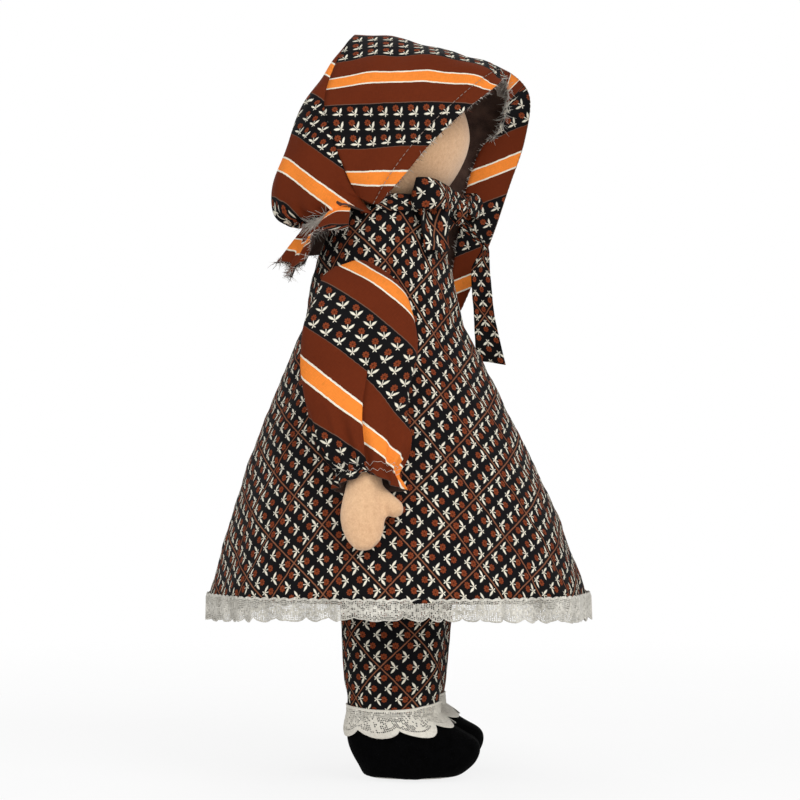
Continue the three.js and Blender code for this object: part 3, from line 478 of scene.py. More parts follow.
def trellis_material():
    """Black cotton with rust lines in squares on their corners and three by three sprigs in each."""
    material, tree, shader = new_material("trellis_print", 0.9, 0.0)
    u, v, place = cloth_place(tree)
    cell = 27.0
    a, b = turn(u, v, math.radians(45))
    parity = ((a * (1 / cell)).op("FLOOR") + (b * (1 / cell)).op("FLOOR")).wrapped(2.0)
    flip = parity * 2 - 1.0
    third = cell / 3
    da, db = (x.wrapped(third) - third / 2 for x in (a, b))
    du, dv = turn(da, db, -math.radians(45))
    masks = sprig(du * flip, dv)
    edges = [(x.wrapped(cell) - cell / 2).op("ABSOLUTE") for x in (a, b)]
    line = (edges[0].op("MAXIMUM", edges[1]) * -1).below(-(cell / 2 - 0.36), 0.12)
    ground = mix(tree, line * 0.95, BLACK, TRELLIS_LINE)
    ink = noise(tree, place, 1.4).op("MULTIPLY_ADD", 0.5, 0.72, clamp=True)
    print_finish(tree, shader, sprig_colours(tree, ground, masks, ink), place)
    return material


def stripe_material():
    """Stripes across v: black with sprigs, brown, orange edged in cream, brown."""
    material, tree, shader = new_material("stripe_print", 0.88, 0.0)
    u, v, place = cloth_place(tree)
    black, brown, orange = 26.6, 14.2, 9.2
    period = black + 2 * brown + orange
    s = v.wrapped(period)
    cream, edge = 0.9, 0.5
    bands = [
        (0, BLACK),
        (black, STRIPE_EDGE),
        (black + edge, BROWN),
        (black + brown, CREAM),
        (black + brown + cream, ORANGE),
        (black + brown + orange - cream, CREAM),
        (black + brown + orange, BROWN),
        (period - edge, STRIPE_EDGE),
    ]
    ground = stepped_ramp(tree, s * (1 / period), [(start / period, colour) for start, colour in bands])
    margin, row_pitch, pitch, skew = 0.3, 8.7, 9.4, 0.8
    row = (s - margin) * (1 / row_pitch)
    along = (u + row.op("FLOOR") * skew).wrapped(pitch) - pitch / 2
    across = (s - margin).wrapped(row_pitch) - row_pitch / 2
    tilt = math.radians(90 + 40)
    masks = sprig(*turn(along, across, tilt))
    ink = noise(tree, place, 1.4).op("MULTIPLY_ADD", 0.5, 0.72, clamp=True) * s.below(black, 0.05)
    print_finish(tree, shader, sprig_colours(tree, ground, masks, ink), place)
    return material


def wrong_side_material(name, colour, other):
    """The pale back of a printed cotton, where the print only shows through; the stripe print's back is
    given dark colours instead, as painted shade for the shadowed insides.
    """
    material, tree, shader = new_material(name, 0.95, 0.1)
    place = cloth_place(tree)[2]
    patches = noise(tree, place, 0.12, 4.0)
    speckle = noise(tree, place, 2.5, 2.0)
    factor = (patches * 0.6 + speckle * 0.6).op("MULTIPLY_ADD", 3.0, -1.3, clamp=True)
    paint(tree, shader, factor, colour, other)
    bump(tree, shader, weave(tree, place) + speckle, 0.3, 0.2)
    return material


def flesh_material():
    """Brushed cotton with a short nap."""
    material, tree, shader = new_material("brushed_cotton", 0.95, 0.35)
    place = object_place(tree)
    nap = noise(tree, place, 1100.0, 4.0)
    tufts = noise(tree, place, 420.0, 3.0)
    patches = noise(tree, place, 28.0, 2.0)
    factor = (nap * 0.5 + tufts * 0.45 + patches * 0.35).op("MULTIPLY_ADD", 1.6, -0.55, clamp=True)
    paint(tree, shader, factor, linear(206, 156, 116), linear(246, 206, 162))
    bump(tree, shader, nap + tufts * 1.4, 0.6, 0.5)
    return material


def felt_material():
    """Black felt with matted fibres."""
    material, tree, shader = new_material("black_felt", 0.98, 0.0)
    shader.inputs["Specular IOR Level"].default_value = 0.03
    place = object_place(tree)
    fibres = noise(tree, place, 900.0, 5.0)
    matted = noise(tree, place, 160.0, 4.0)
    factor = (fibres * 0.6 + matted * 0.6).op("MULTIPLY_ADD", 2.0, -0.75, clamp=True)
    paint(tree, shader, factor, linear(1, 1, 1), linear(8, 8, 9))
    bump(tree, shader, fibres + matted * 1.5, 0.7, 0.5)
    return material


def thread_material(name, dark, light, scale=900.0, sheen=0.2):
    """Spun thread or lace yarn, a little uneven in colour; for the hem net the dark end is also painted
    shade.
    """
    material, tree, shader = new_material(name, 0.85, sheen)
    place = object_place(tree)
    twist = noise(tree, place, scale, 3.0)
    patches = noise(tree, place, 60.0, 2.0)
    factor = (twist * 0.7 + patches * 0.6).op("MULTIPLY_ADD", 1.8, -0.7, clamp=True)
    paint(tree, shader, factor, dark, light)
    bump(tree, shader, twist, 0.5, 0.2)
    return material


def fray_material():
    """Loose thread ends, each of one colour of the print."""
    material, tree, shader = new_material("frayed_thread", 0.9, 0.2)
    island = add_node(tree, "ShaderNodeNewGeometry").outputs["Random Per Island"]
    threads = [(40, 34, 32), (104, 48, 26), (176, 166, 156), (224, 218, 208), (206, 200, 192), (62, 40, 32)]
    bands = [(number / len(threads), linear(*rgb)) for number, rgb in enumerate(threads)]
    colour = stepped_ramp(tree, island, bands)
    shade = noise(tree, object_place(tree), 700.0, 2.0)
    uneven = {"Color": colour, "Value": shade * 0.8 + 0.6}
    hue = add_node(tree, "ShaderNodeHueSaturation", uneven)
    tree.links.new(hue.outputs[0], shader.inputs["Base Color"])
    return material


TRELLIS = trellis_material()
STRIPE = stripe_material()
TRELLIS_BACK = wrong_side_material("trellis_wrong_side", linear(52, 46, 44), linear(108, 96, 88))
# Stripe print's wrong side: darkened to black-brown as painted shade, standing in for the shadow inside the
# bonnet, crown, frill and sleeves.
STRIPE_BACK_PAINTED_SHADE = wrong_side_material("stripe_wrong_side_painted_shade", linear(46, 31, 27), linear(96, 74, 64))
RAW_BACK = wrong_side_material("raw_wrong_side", linear(64, 54, 49), linear(208, 202, 194))
FLESH = flesh_material()
FELT = felt_material()
LACE = thread_material("lace_yarn", linear(214, 208, 194), linear(252, 247, 235))
# Hem lace yarn: its dark grey end is painted shade, specks standing in for the shadows of the threads and
# overlapping gathers, over the yarn's real uneven cream.
NET_PAINTED_SHADE = thread_material("net_yarn_painted_shade", linear(146, 141, 130), linear(248, 244, 233), 700.0)
ELASTIC = thread_material("elastic_web", linear(196, 194, 188), linear(236, 234, 228))
FIBRE = thread_material("fibre_fill", linear(214, 210, 200), linear(246, 243, 236), 300.0)
STITCH = thread_material("sewing_thread", linear(190, 182, 172), linear(232, 226, 216))
TOPSTITCH = thread_material("topstitch_thread", linear(112, 92, 80), linear(186, 170, 156))
LINT = thread_material("lint", linear(120, 114, 104), linear(236, 232, 222))
FRAY = fray_material()


# Camera, light and floor
def add_camera():
    turn_to_front = math.radians(4)
    distance, height, view_width, sensor = 1.5, 0.185, 0.494, 36
    aim = Vector((0, -0.0005, 0.2292))
    data = bpy.data.cameras.new("camera")
    data.sensor_width = sensor
    data.lens = sensor * distance / view_width
    camera = bpy.data.objects.new("camera", data)
    away, aside = distance * math.cos(turn_to_front), distance * math.sin(turn_to_front)
    camera.location = (-away, aim.y - aside, height)
    camera.rotation_euler = (aim - camera.location).to_track_quat("-Z", "Y").to_euler()
    scene.collection.objects.link(camera)
    scene.camera = camera


def add_lamp(name, place, size, power):
    data = bpy.data.lights.new(name, "AREA")
    data.energy, data.size = power, size
    lamp = bpy.data.objects.new(name, data)
    lamp.location = place
    lamp.rotation_euler = (Vector((0, 0, 0.22)) - lamp.location).to_track_quat("-Z", "Y").to_euler()
    scene.collection.objects.link(lamp)


def seen_ray(tree):
    """1 for rays that come from the camera, straight or through a mirror or glass."""
    path = add_node(tree, "ShaderNodeLightPath").outputs
    kinds = ("Camera", "Glossy", "Transmission")
    camera, glossy, through = (Value(tree, path[f"Is {kind} Ray"]) for kind in kinds)
    return camera.op("MAXIMUM", glossy).op("MAXIMUM", through)


def add_floor():
    half = 1.6
    points = [(-half, -half, 0), (half, -half, 0), (half, half, 0), (-half, half, 0)]
    floor = new_object("floor", np.array(points) / MM, [(0, 1, 2, 3)], [])
    floor.location.z = -0.0004
    material = bpy.data.materials.new("pale_floor")
    material.use_nodes = True
    tree = material.node_tree
    tree.nodes.clear()
    diffuse = add_node(tree, "ShaderNodeBsdfDiffuse", {"Color": (0.92, 0.92, 0.92, 1)})
    white = add_node(tree, "ShaderNodeEmission", {"Color": (1, 1, 1, 1), "Strength": 1.0})
    clear = add_node(tree, "ShaderNodeBsdfTransparent")
    seen = seen_ray(tree)
    shown = {"Fac": seen * 0.84, 1: diffuse.outputs[0], 2: white.outputs[0]}
    lit = add_node(tree, "ShaderNodeMixShader", shown)
    distance = add_node(tree, "ShaderNodeVectorMath", {0: object_place(tree)}, operation="LENGTH")
    reach = {"Value": distance.outputs["Value"], "From Min": 0.35, "From Max": 1.2}
    far = add_node(tree, "ShaderNodeMapRange", reach)
    faded = {"Fac": far.outputs[0], 1: lit.outputs[0], 2: clear.outputs[0]}
    fade = add_node(tree, "ShaderNodeMixShader", faded)
    out = add_node(tree, "ShaderNodeOutputMaterial", {"Surface": fade.outputs[0]})
    out.is_active_output = True
    floor.data.materials.append(material)


def add_world():
    world = bpy.data.worlds.new("studio")
    scene.world = world
    world.use_nodes = True
    tree = world.node_tree
    tree.nodes.clear()
    seen = seen_ray(tree)
    soft = add_node(tree, "ShaderNodeBackground", {"Color": (1, 1, 1, 1), "Strength": 0.38})
    white = add_node(tree, "ShaderNodeBackground", {"Color": (1, 1, 1, 1), "Strength": 1.0})
    both = add_node(tree, "ShaderNodeMixShader", {"Fac": seen, 1: soft.outputs[0], 2: white.outputs[0]})
    add_node(tree, "ShaderNodeOutputWorld", {"Surface": both.outputs[0]})


scene.view_settings.view_transform = "Standard"
add_camera()
add_world()
add_floor()
add_lamp("key", (-1.5, -1.1, 1.5), 1.4, 24)
add_lamp("fill", (-1.0, 1.6, 0.9), 1.6, 9)
add_lamp("back", (1.5, 0.3, 1.6), 1.4, 11.5)
add_lamp("low", (-1.4, -0.3, 0.3), 0.9, 3.5)


# Dress
def lean(up):
    return -BODY_LEAN * np.clip((np.asarray(up, float) - HEM_Z) / (NECKLINE_Z - HEM_Z), 0, 1)


def hollow(up):
    """How far the front of the body lies inside its round section."""
    up = np.asarray(up, float)
    above = np.clip((NECKLINE_Z - up) / (NECKLINE_Z - SHOULDER_Z), 0, 1)
    below = np.cos(math.pi * np.clip((WAIST_Z - up) / (WAIST_Z - HEM_Z), 0, 1))
    return FRONT_HOLLOW * np.where(up > WAIST_Z, above, (1 + below) / 2)


def around_body(angle, up, radius):
    """A point around the body, whose front is flatter than its back."""
    depth = radius - hollow(up) * (np.sin(angle) < 0)
    return at(radius * np.cos(angle), lean(up) - depth * np.sin(angle), up)


BODICE = smooth(
    [(NECKLINE_Z, NECKLINE_RADIUS), (SHOULDER_Z, SHOULDER_RADIUS), (WAIST_Z, WAIST_RADIUS)],
    12,
)


def dress_radius(angle, t):
    """Height and radius of the dress; t runs from the neckline at -1 over the waist at 0 to the hem at 1."""
    skirt = np.maximum(t, 0)
    swell, fold_depth, folds, side_rise = 0.3, 1.5, 10, 1.5
    flare = (1 + swell) * skirt - swell * skirt**2
    hem = HEM_Z + side_rise * np.cos(angle) ** 2
    up = np.where(t < 0, lerp(WAIST_Z, NECKLINE_Z, -t), lerp(WAIST_Z, hem, t))
    radius = np.where(t < 0, column(BODICE, up, 1), lerp(WAIST_RADIUS, HEM_RADIUS, flare))
    fold = fold_depth * skirt**2 * np.cos(folds * angle + math.pi / 2)
    return up, radius + fold


def dress_point(angle, t):
    return around_body(angle, *dress_radius(angle, t))


def cone_uv(slant, angle):
    """Flat pattern of the dress's right and left panels, cut like a cone laid open."""
    narrow, apex, print_scale = 0.343, 85, np.array([0.985, 0.915])
    result = []
    for middle, sign in ((math.pi, 1), (0, -1)):
        phi = sign * ((angle - middle + math.pi) % TAU - math.pi)
        reach = (apex + slant)[:, None]
        flat = np.stack([reach * np.sin(phi * narrow), -reach * np.cos(phi * narrow)], -1)
        result.append(flat * print_scale)
    return result


DRESS_PHASE = np.array([18.9, 30.0])


def add_dress():
    columns, turned_in = 288, 0.9
    rise = np.concatenate([np.linspace(-1, 0, 34)[:-1], np.linspace(0, 1, 78)])
    angle = ring_angles(columns)
    grid = dress_point(angle[None, :], rise[:, None])
    core = np.array([0, 0, 200.0])
    around = np.stack([np.cos(angle), np.sin(angle)], -1)
    drape = soft_noise(around * 40, 26, 5)[None, :] * step(0.1, 1.1, rise)[:, None] * 1.1
    crumple = soft_noise(grid, 34, 6) * 0.45 + soft_noise(grid * [1, 1, 2.2], 17, 7) * 0.22
    pleats = np.cos(26 * angle + 2 * soft_noise(around * 20, 25, 8))
    gather = pleats[None, :] * step(-0.72, -1, rise)[:, None] * 0.6
    grid = pushed(grid, drape + crumple + gather, True, core)
    under = grid - grid_normals(grid, True, core) * turned_in
    top = [under[6], under[3], under[0] + [0, 0, 0.2]]
    hem = [under[-1] - [0, 0, 0.2], under[-3], under[-5]]
    whole = np.concatenate([np.array(top), grid, np.array(hem)])
    slant = arc(whole, 0).mean(1)
    panels = cone_uv(slant, np.append(angle, TAU))
    right, left = (at_corners(panel + DRESS_PHASE, len(whole), columns) for panel in panels)
    on_right = np.cos(angle + math.pi / columns) < 0
    uv = np.where(on_right[None, :, None, None], right, left)
    obj = grid_object("dress", whole, [TRELLIS, TRELLIS_BACK], uv, True, core, dress_keep(whole))
    thicken(obj, CLOTH)
    belongs(obj, "torso", "trellis_print_cotton", "dress_bodice", "dress_skirt")


def arm_frame(sign):
    """Origin and axes of an arm: outwards, to the front, up along the arm."""
    origin = at(sign * ARM_X, ARM_FRONT, ARM_Z)
    out = np.array([sign * math.cos(ARM_SLOPE), 0, math.sin(ARM_SLOPE)])
    up = np.array([-sign * math.sin(ARM_SLOPE), 0, math.cos(ARM_SLOPE)])
    return origin, out, np.array([0, -1.0, 0]), up


def in_arm(points, sign):
    """Points given as outwards, front and down in an arm's frame."""
    origin, out, front, up = arm_frame(sign)
    return origin + points[..., :1] * out + points[..., 1:2] * front - points[..., 2:] * up


def dress_keep(grid):
    """Faces of the dress that are not cut away for the armholes."""
    reach = 26
    middle = (grid[:-1] + grid[1:]) / 2
    middle = (middle + np.roll(middle, -1, 1)) / 2
    keep = np.ones(middle.shape[:2], bool)
    for _, sign in SIDES:
        origin, out, front, up = arm_frame(sign)
        local = middle - origin
        across = np.hypot(local @ front, local @ up + ARMHOLE_DROP)
        keep &= ~((across < ARMHOLE_RADIUS) & (np.abs(local @ out) < reach))
    return keep


# Lace
def net_lines(extent):
    """Edges of the net's threads across an extent, from 0 to 1, and which gaps between them are open."""
    pitch, hole = 1.15, 0.68
    count = int(extent / pitch)
    edges = np.arange(count)[:, None] * pitch + np.array([0, pitch * (1 - hole)])
    lines = np.append(edges.ravel(), count * pitch) / (count * pitch)
    return lines, np.arange(len(lines) - 1) % 2 == 1


def lace_motif(along, down, repeat, border):
    """Where the lace is worked solid: a row of petals, leaves between them and a border below."""
    width = repeat / 15
    x = (along / repeat) % 1 - 0.5
    flower = np.hypot(x * width, down - 0.5)
    petal = 0.24 + 0.07 * np.cos(6 * np.arctan2(down - 0.5, x * width))
    worked = (flower < petal) & (flower > 0.09)
    side, below = np.abs(np.abs(x) - 0.36) * width, down - 0.62
    leaf = np.hypot(side * 1.6, below * 1.3) < 0.2
    vein = np.abs(side - below * 0.4) <= 0.03
    return worked | (leaf & ~vein) | (down > 1 - border) | (down < 0.07)


def lace_piece(name, place, length, height, repeat, core, seed, yarn, border, filled):
    """A lace strip. place(along, down) gives its points, filled the share of its holes that are closed."""
    along, open_along = net_lines(length)
    down, open_down = net_lines(height)
    along = along * length
    rng = np.random.default_rng(seed)
    jitter = rng.normal(0, 0.09, (len(down), len(along), 2))
    jitter[:, [0, -1]] = 0
    a, d = np.meshgrid(along, down)
    grid = place(a + jitter[..., 0], np.clip(d + jitter[..., 1] / height, 0, 1))
    middle = np.meshgrid((along[1:] + along[:-1]) / 2, (down[1:] + down[:-1]) / 2)
    solid = lace_motif(middle[0], middle[1], repeat, border)
    solid |= rng.random(solid.shape) < filled
    net = open_down[:, None] & open_along[None, :]
    obj = grid_object(name, grid, [yarn], None, False, core, ~(net & ~solid))
    return thicken(obj, 0.35, 0, 0)


def add_hem_lace():
    height, fullness, lace_radius, motifs = 15, 1.16, 118, 60
    length = TAU * lace_radius * fullness
    repeat = length / motifs
    skirt_drop = WAIST_Z - HEM_Z
    lift, drop = 2, 9
    core = np.array([0, 0, 130.0])
    rng = np.random.default_rng(21)
    waves = [(n, rng.uniform(0, TAU), rng.uniform(0.4, 1)) for n in (23, 31, 38, 47, 61)]

    def place(along, down):
        angle = TAU * along / length
        edge = np.abs(np.sin(math.pi * along / 8)) * (1 - down) ** 2
        lumps = np.abs(np.sin(24 * angle + 1.6 * np.sin(5 * angle + 1) + 0.9 * np.sin(11 * angle)))
        scallop = 2.6 * lumps**0.6 + 0.7 * np.abs(np.sin(math.pi * along / repeat)) - 1
        hang = drop - 1 + 4 * np.sin(angle) ** 2
        below = lerp(-lift, hang + scallop, down) - edge
        up, radius = dress_radius(angle, 1 + np.minimum(below, 0) / skirt_drop)
        up = up - np.maximum(below, 0)
        ripple = sum(size * np.sin(n * angle + phase) for n, phase, size in waves) / 2
        sway = sum(size * np.cos(n * angle + phase) for n, phase, size in waves) / 2
        share = down**0.8
        radius = radius + 1.3 + share * (1.3 * ripple - 1)
        base = around_body(angle, up, radius)
        side = at(-np.sin(angle), -np.cos(angle), np.zeros_like(angle))
        return base + side * (1.2 * share * sway)[..., None]

    # The net's grey specks are painted shade of its threads and gathers.
    obj = lace_piece("skirt_hem_lace_trim", place, length, height, repeat, core, 22, NET_PAINTED_SHADE, 0.08, 0.06)
    belongs(obj, "torso", "lace", "skirt_hem_lace")


# Legs, boots
LEG = smooth(
    [
        (0, 20, 4),
        (7.5, 23.4, 8.25),
        (19.5, 24.7, 17.9),
        (37.5, 26, 27),
        (74.9, 26.8, 32.4),
        (104.9, 26.5, 31.3),
        (149.85, 26, 27.5),
    ],
    8,
)
BOOT = smooth(
    [
        (39.85, 26, 29, 26),
        (32, 37.8, 30.4, 25.7),
        (24.8, 49.9, 30.4, 25.2),
        (16.8, 52.5, 27.9, 24.5),
        (8.8, 48.3, 23.9, 23.3),
        (2.8, 40.4, 20.2, 19.8),
        (0, 33.1, 15.5, 15.2),
    ],
    5,
)


def add_leg(name, sign):
    columns, core, print_radius, print_place = 64, at(LEG_X, 0, 110), 28.5, np.array([-5.9, 121])
    down = np.linspace(0, LEG_LENGTH - 0.2, 64)
    angle = ring_angles(columns) + math.pi
    half, depth = (column(LEG, down, k)[:, None] for k in (1, 2))
    front = -LEG_SETBACK * (down / LEG_LENGTH)[:, None]
    grid = at(LEG_X + half * np.cos(angle), front - depth * np.sin(angle), (HIP_Z - down)[:, None])
    wrinkle = soft_noise(grid * [1, 1, 2.6], 30, 31) * 0.5 * step(60, 150, down)[:, None]
    wrinkle = wrinkle + soft_noise(grid, 22, 32) * 0.35
    grid = pushed(grid, wrinkle, True, core)
    ring = np.linspace(-0.5, 0.5, columns + 1) * TAU * print_radius
    uv = np.stack(np.broadcast_arrays(ring[None, :], -down[:, None]), -1) + print_place
    grid, core = mirrored(grid, sign), mirrored(core, sign)
    obj = grid_object(f"leg_{name}", grid, [TRELLIS], uv, True, core, None, (0, -1))
    inflate(obj, 1.2, 2.0)
    subdivide(obj)
    belongs(obj, f"leg_{name}", "trellis_print_cotton", f"leg_skin_{name}")


def add_boot(name, sign):
    core, floor_gap = at(LEG_X, 5, 20), 0.05
    up = np.concatenate([np.linspace(39.8, 3, 22), [1.6, 0.7, 0.2, floor_gap]])
    angle = ring_angles(56)
    toe, heel, half = (column(BOOT, up, k)[:, None] for k in (1, 2, 3))
    squeeze = np.array([1] * 23 + [0.93, 0.82, 0.6])[:, None]
    front = (toe - heel) / 2 - (toe + heel) / 2 * np.sin(angle) * squeeze
    grid = at(LEG_X + half * np.cos(angle) * squeeze, front, up[:, None])
    seam = np.exp(-(((np.abs(np.cos(angle))) * 26) ** 2) / 2.5)[None, :]
    dents = soft_noise(grid, 26, 41) * 0.5 * step(2, 9, up)[:, None]
    grid = pushed(grid, dents - 0.7 * seam * step(3, 8, up)[:, None] - 0.8, True, core)
    grid[..., 2] = np.maximum(grid[..., 2], floor_gap)
    grid, core = mirrored(grid, sign), mirrored(core, sign)
    obj = grid_object(f"boot_{name}", grid, [FELT], None, True, core, None, (0, -1))
    inflate(obj, 0.9, 3.0)
    for vertex in obj.data.vertices:
        vertex.co.z = max(vertex.co.z, 0.0)
    subdivide(obj)
    belongs(obj, f"leg_{name}", "black_felt", f"boot_skin_{name}")


def add_ankle_lace(name, sign):
    length, height, count = 196, 17.5, 8
    repeat = length / count

    def place(along, down):
        angle = TAU * along / length
        scallop = np.abs(np.sin(math.pi * along / repeat)) ** 0.75
        to_front = np.maximum(-np.sin(angle), 0) ** 2
        top = 43.6 + 1.6 * np.sin(angle) ** 2 + 1.8 * to_front
        bottom = 31.5 - 5 * scallop + 7 * to_front
        up = lerp(top, bottom, down)
        toe, heel, half = (column(BOOT, np.minimum(up, 39.8), k) for k in (1, 2, 3))
        ripple = 0.7 * np.sin(3 * angle + 0.7) + 0.6 * np.sin(count * angle * 2 + 1)
        push = 0.6 + down * (0.5 + 0.3 * ripple)
        front = (toe - heel) / 2 - ((toe + heel) / 2 + push) * np.sin(angle)
        return mirrored(at(LEG_X + (half + push) * np.cos(angle), front, up), sign)

    core = mirrored(at(LEG_X, -2.5, 35), sign)
    obj = lace_piece(f"ankle_lace_trim_{name}", place, length, height, repeat, core, 51, LACE, 0.16, 0.12)
    belongs(obj, f"leg_{name}", "lace", f"ankle_lace_{name}")
    cord = place(np.linspace(0, length, 90), np.full(90, 0.02))
    edge = tubes(f"ankle_lace_edge_{name}", [cord], 0.55, LACE, 6)
    edge.parent = obj


# Arms and sleeves
SLEEVE = smooth(
    [
        (0, -4, 3.5, 2.6),
        (9.6, -5, 18, 11),
        (24.7, -2, 26.6, 19.5),
        (58.9, -1.5, 34.5, 26),
        (98.6, -2, 29.5, 24),
        (126, 3, 23, 21.3),
        (CUFF_DOWN, 5.5, 16.6, 19.8),
        (142, 5.7, 18.3, 20.6),
        (SLEEVE_LENGTH, 6, 19.4, 21.8),
    ],
    8,
)
STITCH_ROWS, ELASTIC_WIDTH = (134.4, 138.2), 5


def sleeve_surface(down, angle):
    """Outwards, front and down on the sleeve; angle 0 is the outside and a quarter turn the front."""
    middle, half, thick = (column(SLEEVE, down, k) for k in (1, 2, 3))
    gather = step(88, 134, down) * (1 - 0.25 * step(CUFF_DOWN, SLEEVE_LENGTH, down))
    folds = np.cos(11 * angle + 1.2 * np.sin(2 * angle + 1) + 0.5) + 0.6 * np.cos(17 * angle + 2)
    flute = 1.25 * gather * folds
    bulge = 5 * bell(down, 118, 11) * bell(angle, 1.35, 0.42)
    bulge = bulge - 2.6 * bell(down, 102, 4) * bell(angle, 1.3, 0.35)
    frill_share = step(CUFF_DOWN + 1, SLEEVE_LENGTH, down)
    frill = frill_share * (2.4 * np.cos(5 * angle + 0.4 + math.pi) + 1.2 * np.cos(9 * angle + 1))
    place = np.stack([np.cos(angle) * 22, np.sin(angle) * 22, down], -1)
    soft = soft_noise(place, 30, 61) * 0.6 * step(4, 30, down)
    grow = flute + bulge + frill + soft
    out = np.maximum(thick / 2 + (thick / 2 + grow * 0.9) * np.cos(angle), 0.25)
    parted = 6.5 * bell(angle, 0, 0.42) * frill_share
    return np.stack([out, middle + (half + grow) * np.sin(angle), down - parted], -1)


def from_sleeve_middle(local, down):
    """Directions from the sleeve's middle line."""
    middle = np.stack([column(SLEEVE, down, 3) / 2, column(SLEEVE, down, 1), down], -1)
    return unit((local - middle) * [1, 1, 0])


def sleeve_columns():
    """Angles of the sleeve's columns from its tuck line, how far each slips back under the tuck, how high it
    lies over it and the share of the tucked cloth before it."""
    left = np.linspace(-math.pi, -0.03, 84)
    right = np.linspace(0.07, math.pi, 84)[:-1]
    angle = np.concatenate([left, [0, 0.02, 0.028, 0.04], right])
    slip = np.concatenate([left * 0, [0, 0, -0.17, 0], right * 0])
    lift = np.concatenate([1.1 * np.exp(left / 0.3), [1.1, 0.6, -0.2, -1.0], -1.0 * np.exp(-right / 0.35)])
    hidden = np.concatenate([left * 0, [0, 0.1, 0.5, 1], right * 0 + 1])
    return angle, slip, lift, hidden


def add_sleeve(name, sign):
    down = np.concatenate([[0.3, 1.0, 2.2], np.linspace(4, SLEEVE_LENGTH, 132)])
    base, slip, lift, hidden = sleeve_columns()
    d, a = np.meshgrid(down, base, indexing="ij")
    a = a + lerp(0.2, 0.02, step(75, CUFF_DOWN, d)) * bell(a, 0, 0.6)
    under = step(68, 90, d) * (1 - 0.7 * step(128, CUFF_DOWN, d))
    flat = sleeve_surface(d, a)
    local = sleeve_surface(d, a + slip * under)
    local = local + from_sleeve_middle(local, d) * (lift * under)[..., None]
    around = arc(np.concatenate([flat, flat[:, :1]], 1), 1)
    outside = int(np.argmin(np.abs(base)))
    u = around - around[:, outside : outside + 1]
    depth = (3.7 + 10 * step(78, 120, down)) * step(66, 80, down)
    u = u + np.append(hidden, 1) * depth[:, None]
    fall, print_scale, black_end = math.radians(36.5), 0.93, 67.5
    height = black_end - down * math.cos(ARM_SLOPE) + column(SLEEVE, down, 3) * math.sin(ARM_SLOPE)
    flat_along = u * math.cos(fall) - height[:, None] * math.sin(fall)
    flat_across = u * math.sin(fall) + height[:, None] * math.cos(fall)
    uv = np.stack([flat_along, flat_across], -1) * print_scale
    grid = in_arm(local, sign)
    core = in_arm(np.array([10.0, 0, 70]), sign)
    obj = grid_object(f"sleeve_{name}_cloth", grid, [STRIPE, STRIPE_BACK_PAINTED_SHADE], uv, True, core)
    thicken(obj, CLOTH)
    belongs(obj, f"arm_{name}", "stripe_print_cotton", f"sleeve_{name}")
    add_zigzag(name, sign, obj)
    add_elastic(name, sign)


def add_zigzag(name, sign, sleeve):
    """Two close rows of zigzag stitching over the cuff's elastic."""
    count = 52
    rng = np.random.default_rng(63)
    lines = []
    for middle in STITCH_ROWS:
        ring = TAU * np.arange(count + 1) / count + rng.normal(0, 0.012, count + 1)
        ring[-1] = ring[0] + TAU
        zig = middle + 0.8 * np.where(np.arange(count + 1) % 2, 1, -1) + rng.normal(0, 0.45, count + 1)
        path = sleeve_surface(zig, ring - math.pi)
        path = path + (path - path.mean(0)) * [1, 1, 0] * 0.022
        lines += [in_arm(path[k : k + 2], sign) for k in range(count)]
    stitches = tubes(f"cuff_zigzag_{name}", lines, rng.uniform(0.2, 0.3, len(lines)), STITCH)
    stitches.parent = sleeve


def add_elastic(name, sign):
    """Elastic inside the cuff, drawn up in the same flutes."""
    middle = 136
    down = np.linspace(middle - ELASTIC_WIDTH / 2, middle + ELASTIC_WIDTH / 2, 5)
    d, a = np.meshgrid(down, ring_angles(120) - math.pi, indexing="ij")
    local = sleeve_surface(d, a)
    local[..., 2] = d
    local = local - from_sleeve_middle(local, d)
    core = in_arm(np.array([10.0, 5, middle]), sign)
    obj = grid_object(f"cuff_band_{name}", in_arm(local, sign), [ELASTIC], None, True, core)
    thicken(obj, CLOTH, 0)
    belongs(obj, f"arm_{name}", "elastic", f"cuff_elastic_{name}")


def add_shoulder(name, sign):
    """Short stuffed tube that joins the sleeve to the armhole, around the frame's shoulder tab."""
    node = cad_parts[f"shoulder_tab_{name}"]
    points = np.array([node.matrix_world @ vertex.co for vertex in node.data.vertices]) / MM
    origin, out = arm_frame(sign)[:2]
    reach = (points - origin) @ out
    along = np.linspace(reach.min(), reach.max(), 25)
    columns, tube_radius, pucker, gathered = 56, ARMHOLE_RADIUS - 0.3, 0.3, 3
    s, a = np.meshgrid(along, ring_angles(columns), indexing="ij")
    radius = tube_radius + pucker * np.cos(columns // 4 * a)
    local = np.stack([s, radius * np.cos(a), ARMHOLE_DROP + radius * np.sin(a)], -1)
    around = np.linspace(0, TAU * tube_radius, columns + 1)
    uv = np.stack(np.broadcast_arrays(around[None, :], gathered * along[:, None]), -1)
    obj = grid_object(f"shoulder_{name}", in_arm(local, sign), [TRELLIS], uv, True, None, None, (0, -1))
    limits = [np.array([lerp(along[0], along[-1], share), 0, ARMHOLE_DROP]) for share in (0.3, 1)]
    start, end = (tuple(in_arm(limit, sign) * MM) for limit in limits)
    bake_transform(obj)
    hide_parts(f"shoulder_tab_{name}")


ARM = smooth(
    [
        (11, -2, 6.5, 6.4),
        (21.4, -1, 9.4, 9.9),
        (45.5, 0, 12.4, 15.2),
        (97.3, 1, 13, 16),
        (128.3, 4, 10.1, 11.5),
        (138, 4, 10.3, 11.4),
        (147, 3.6, 11.4, 12.8),
        (162.8, 3, 13.2, 15.6),
        (175.7, 4, 10.4, 12.8),
        (181.8, 4, 5.4, 7.6),
        (183.3, 4, 2.4, 3.4),
    ],
    6,
)


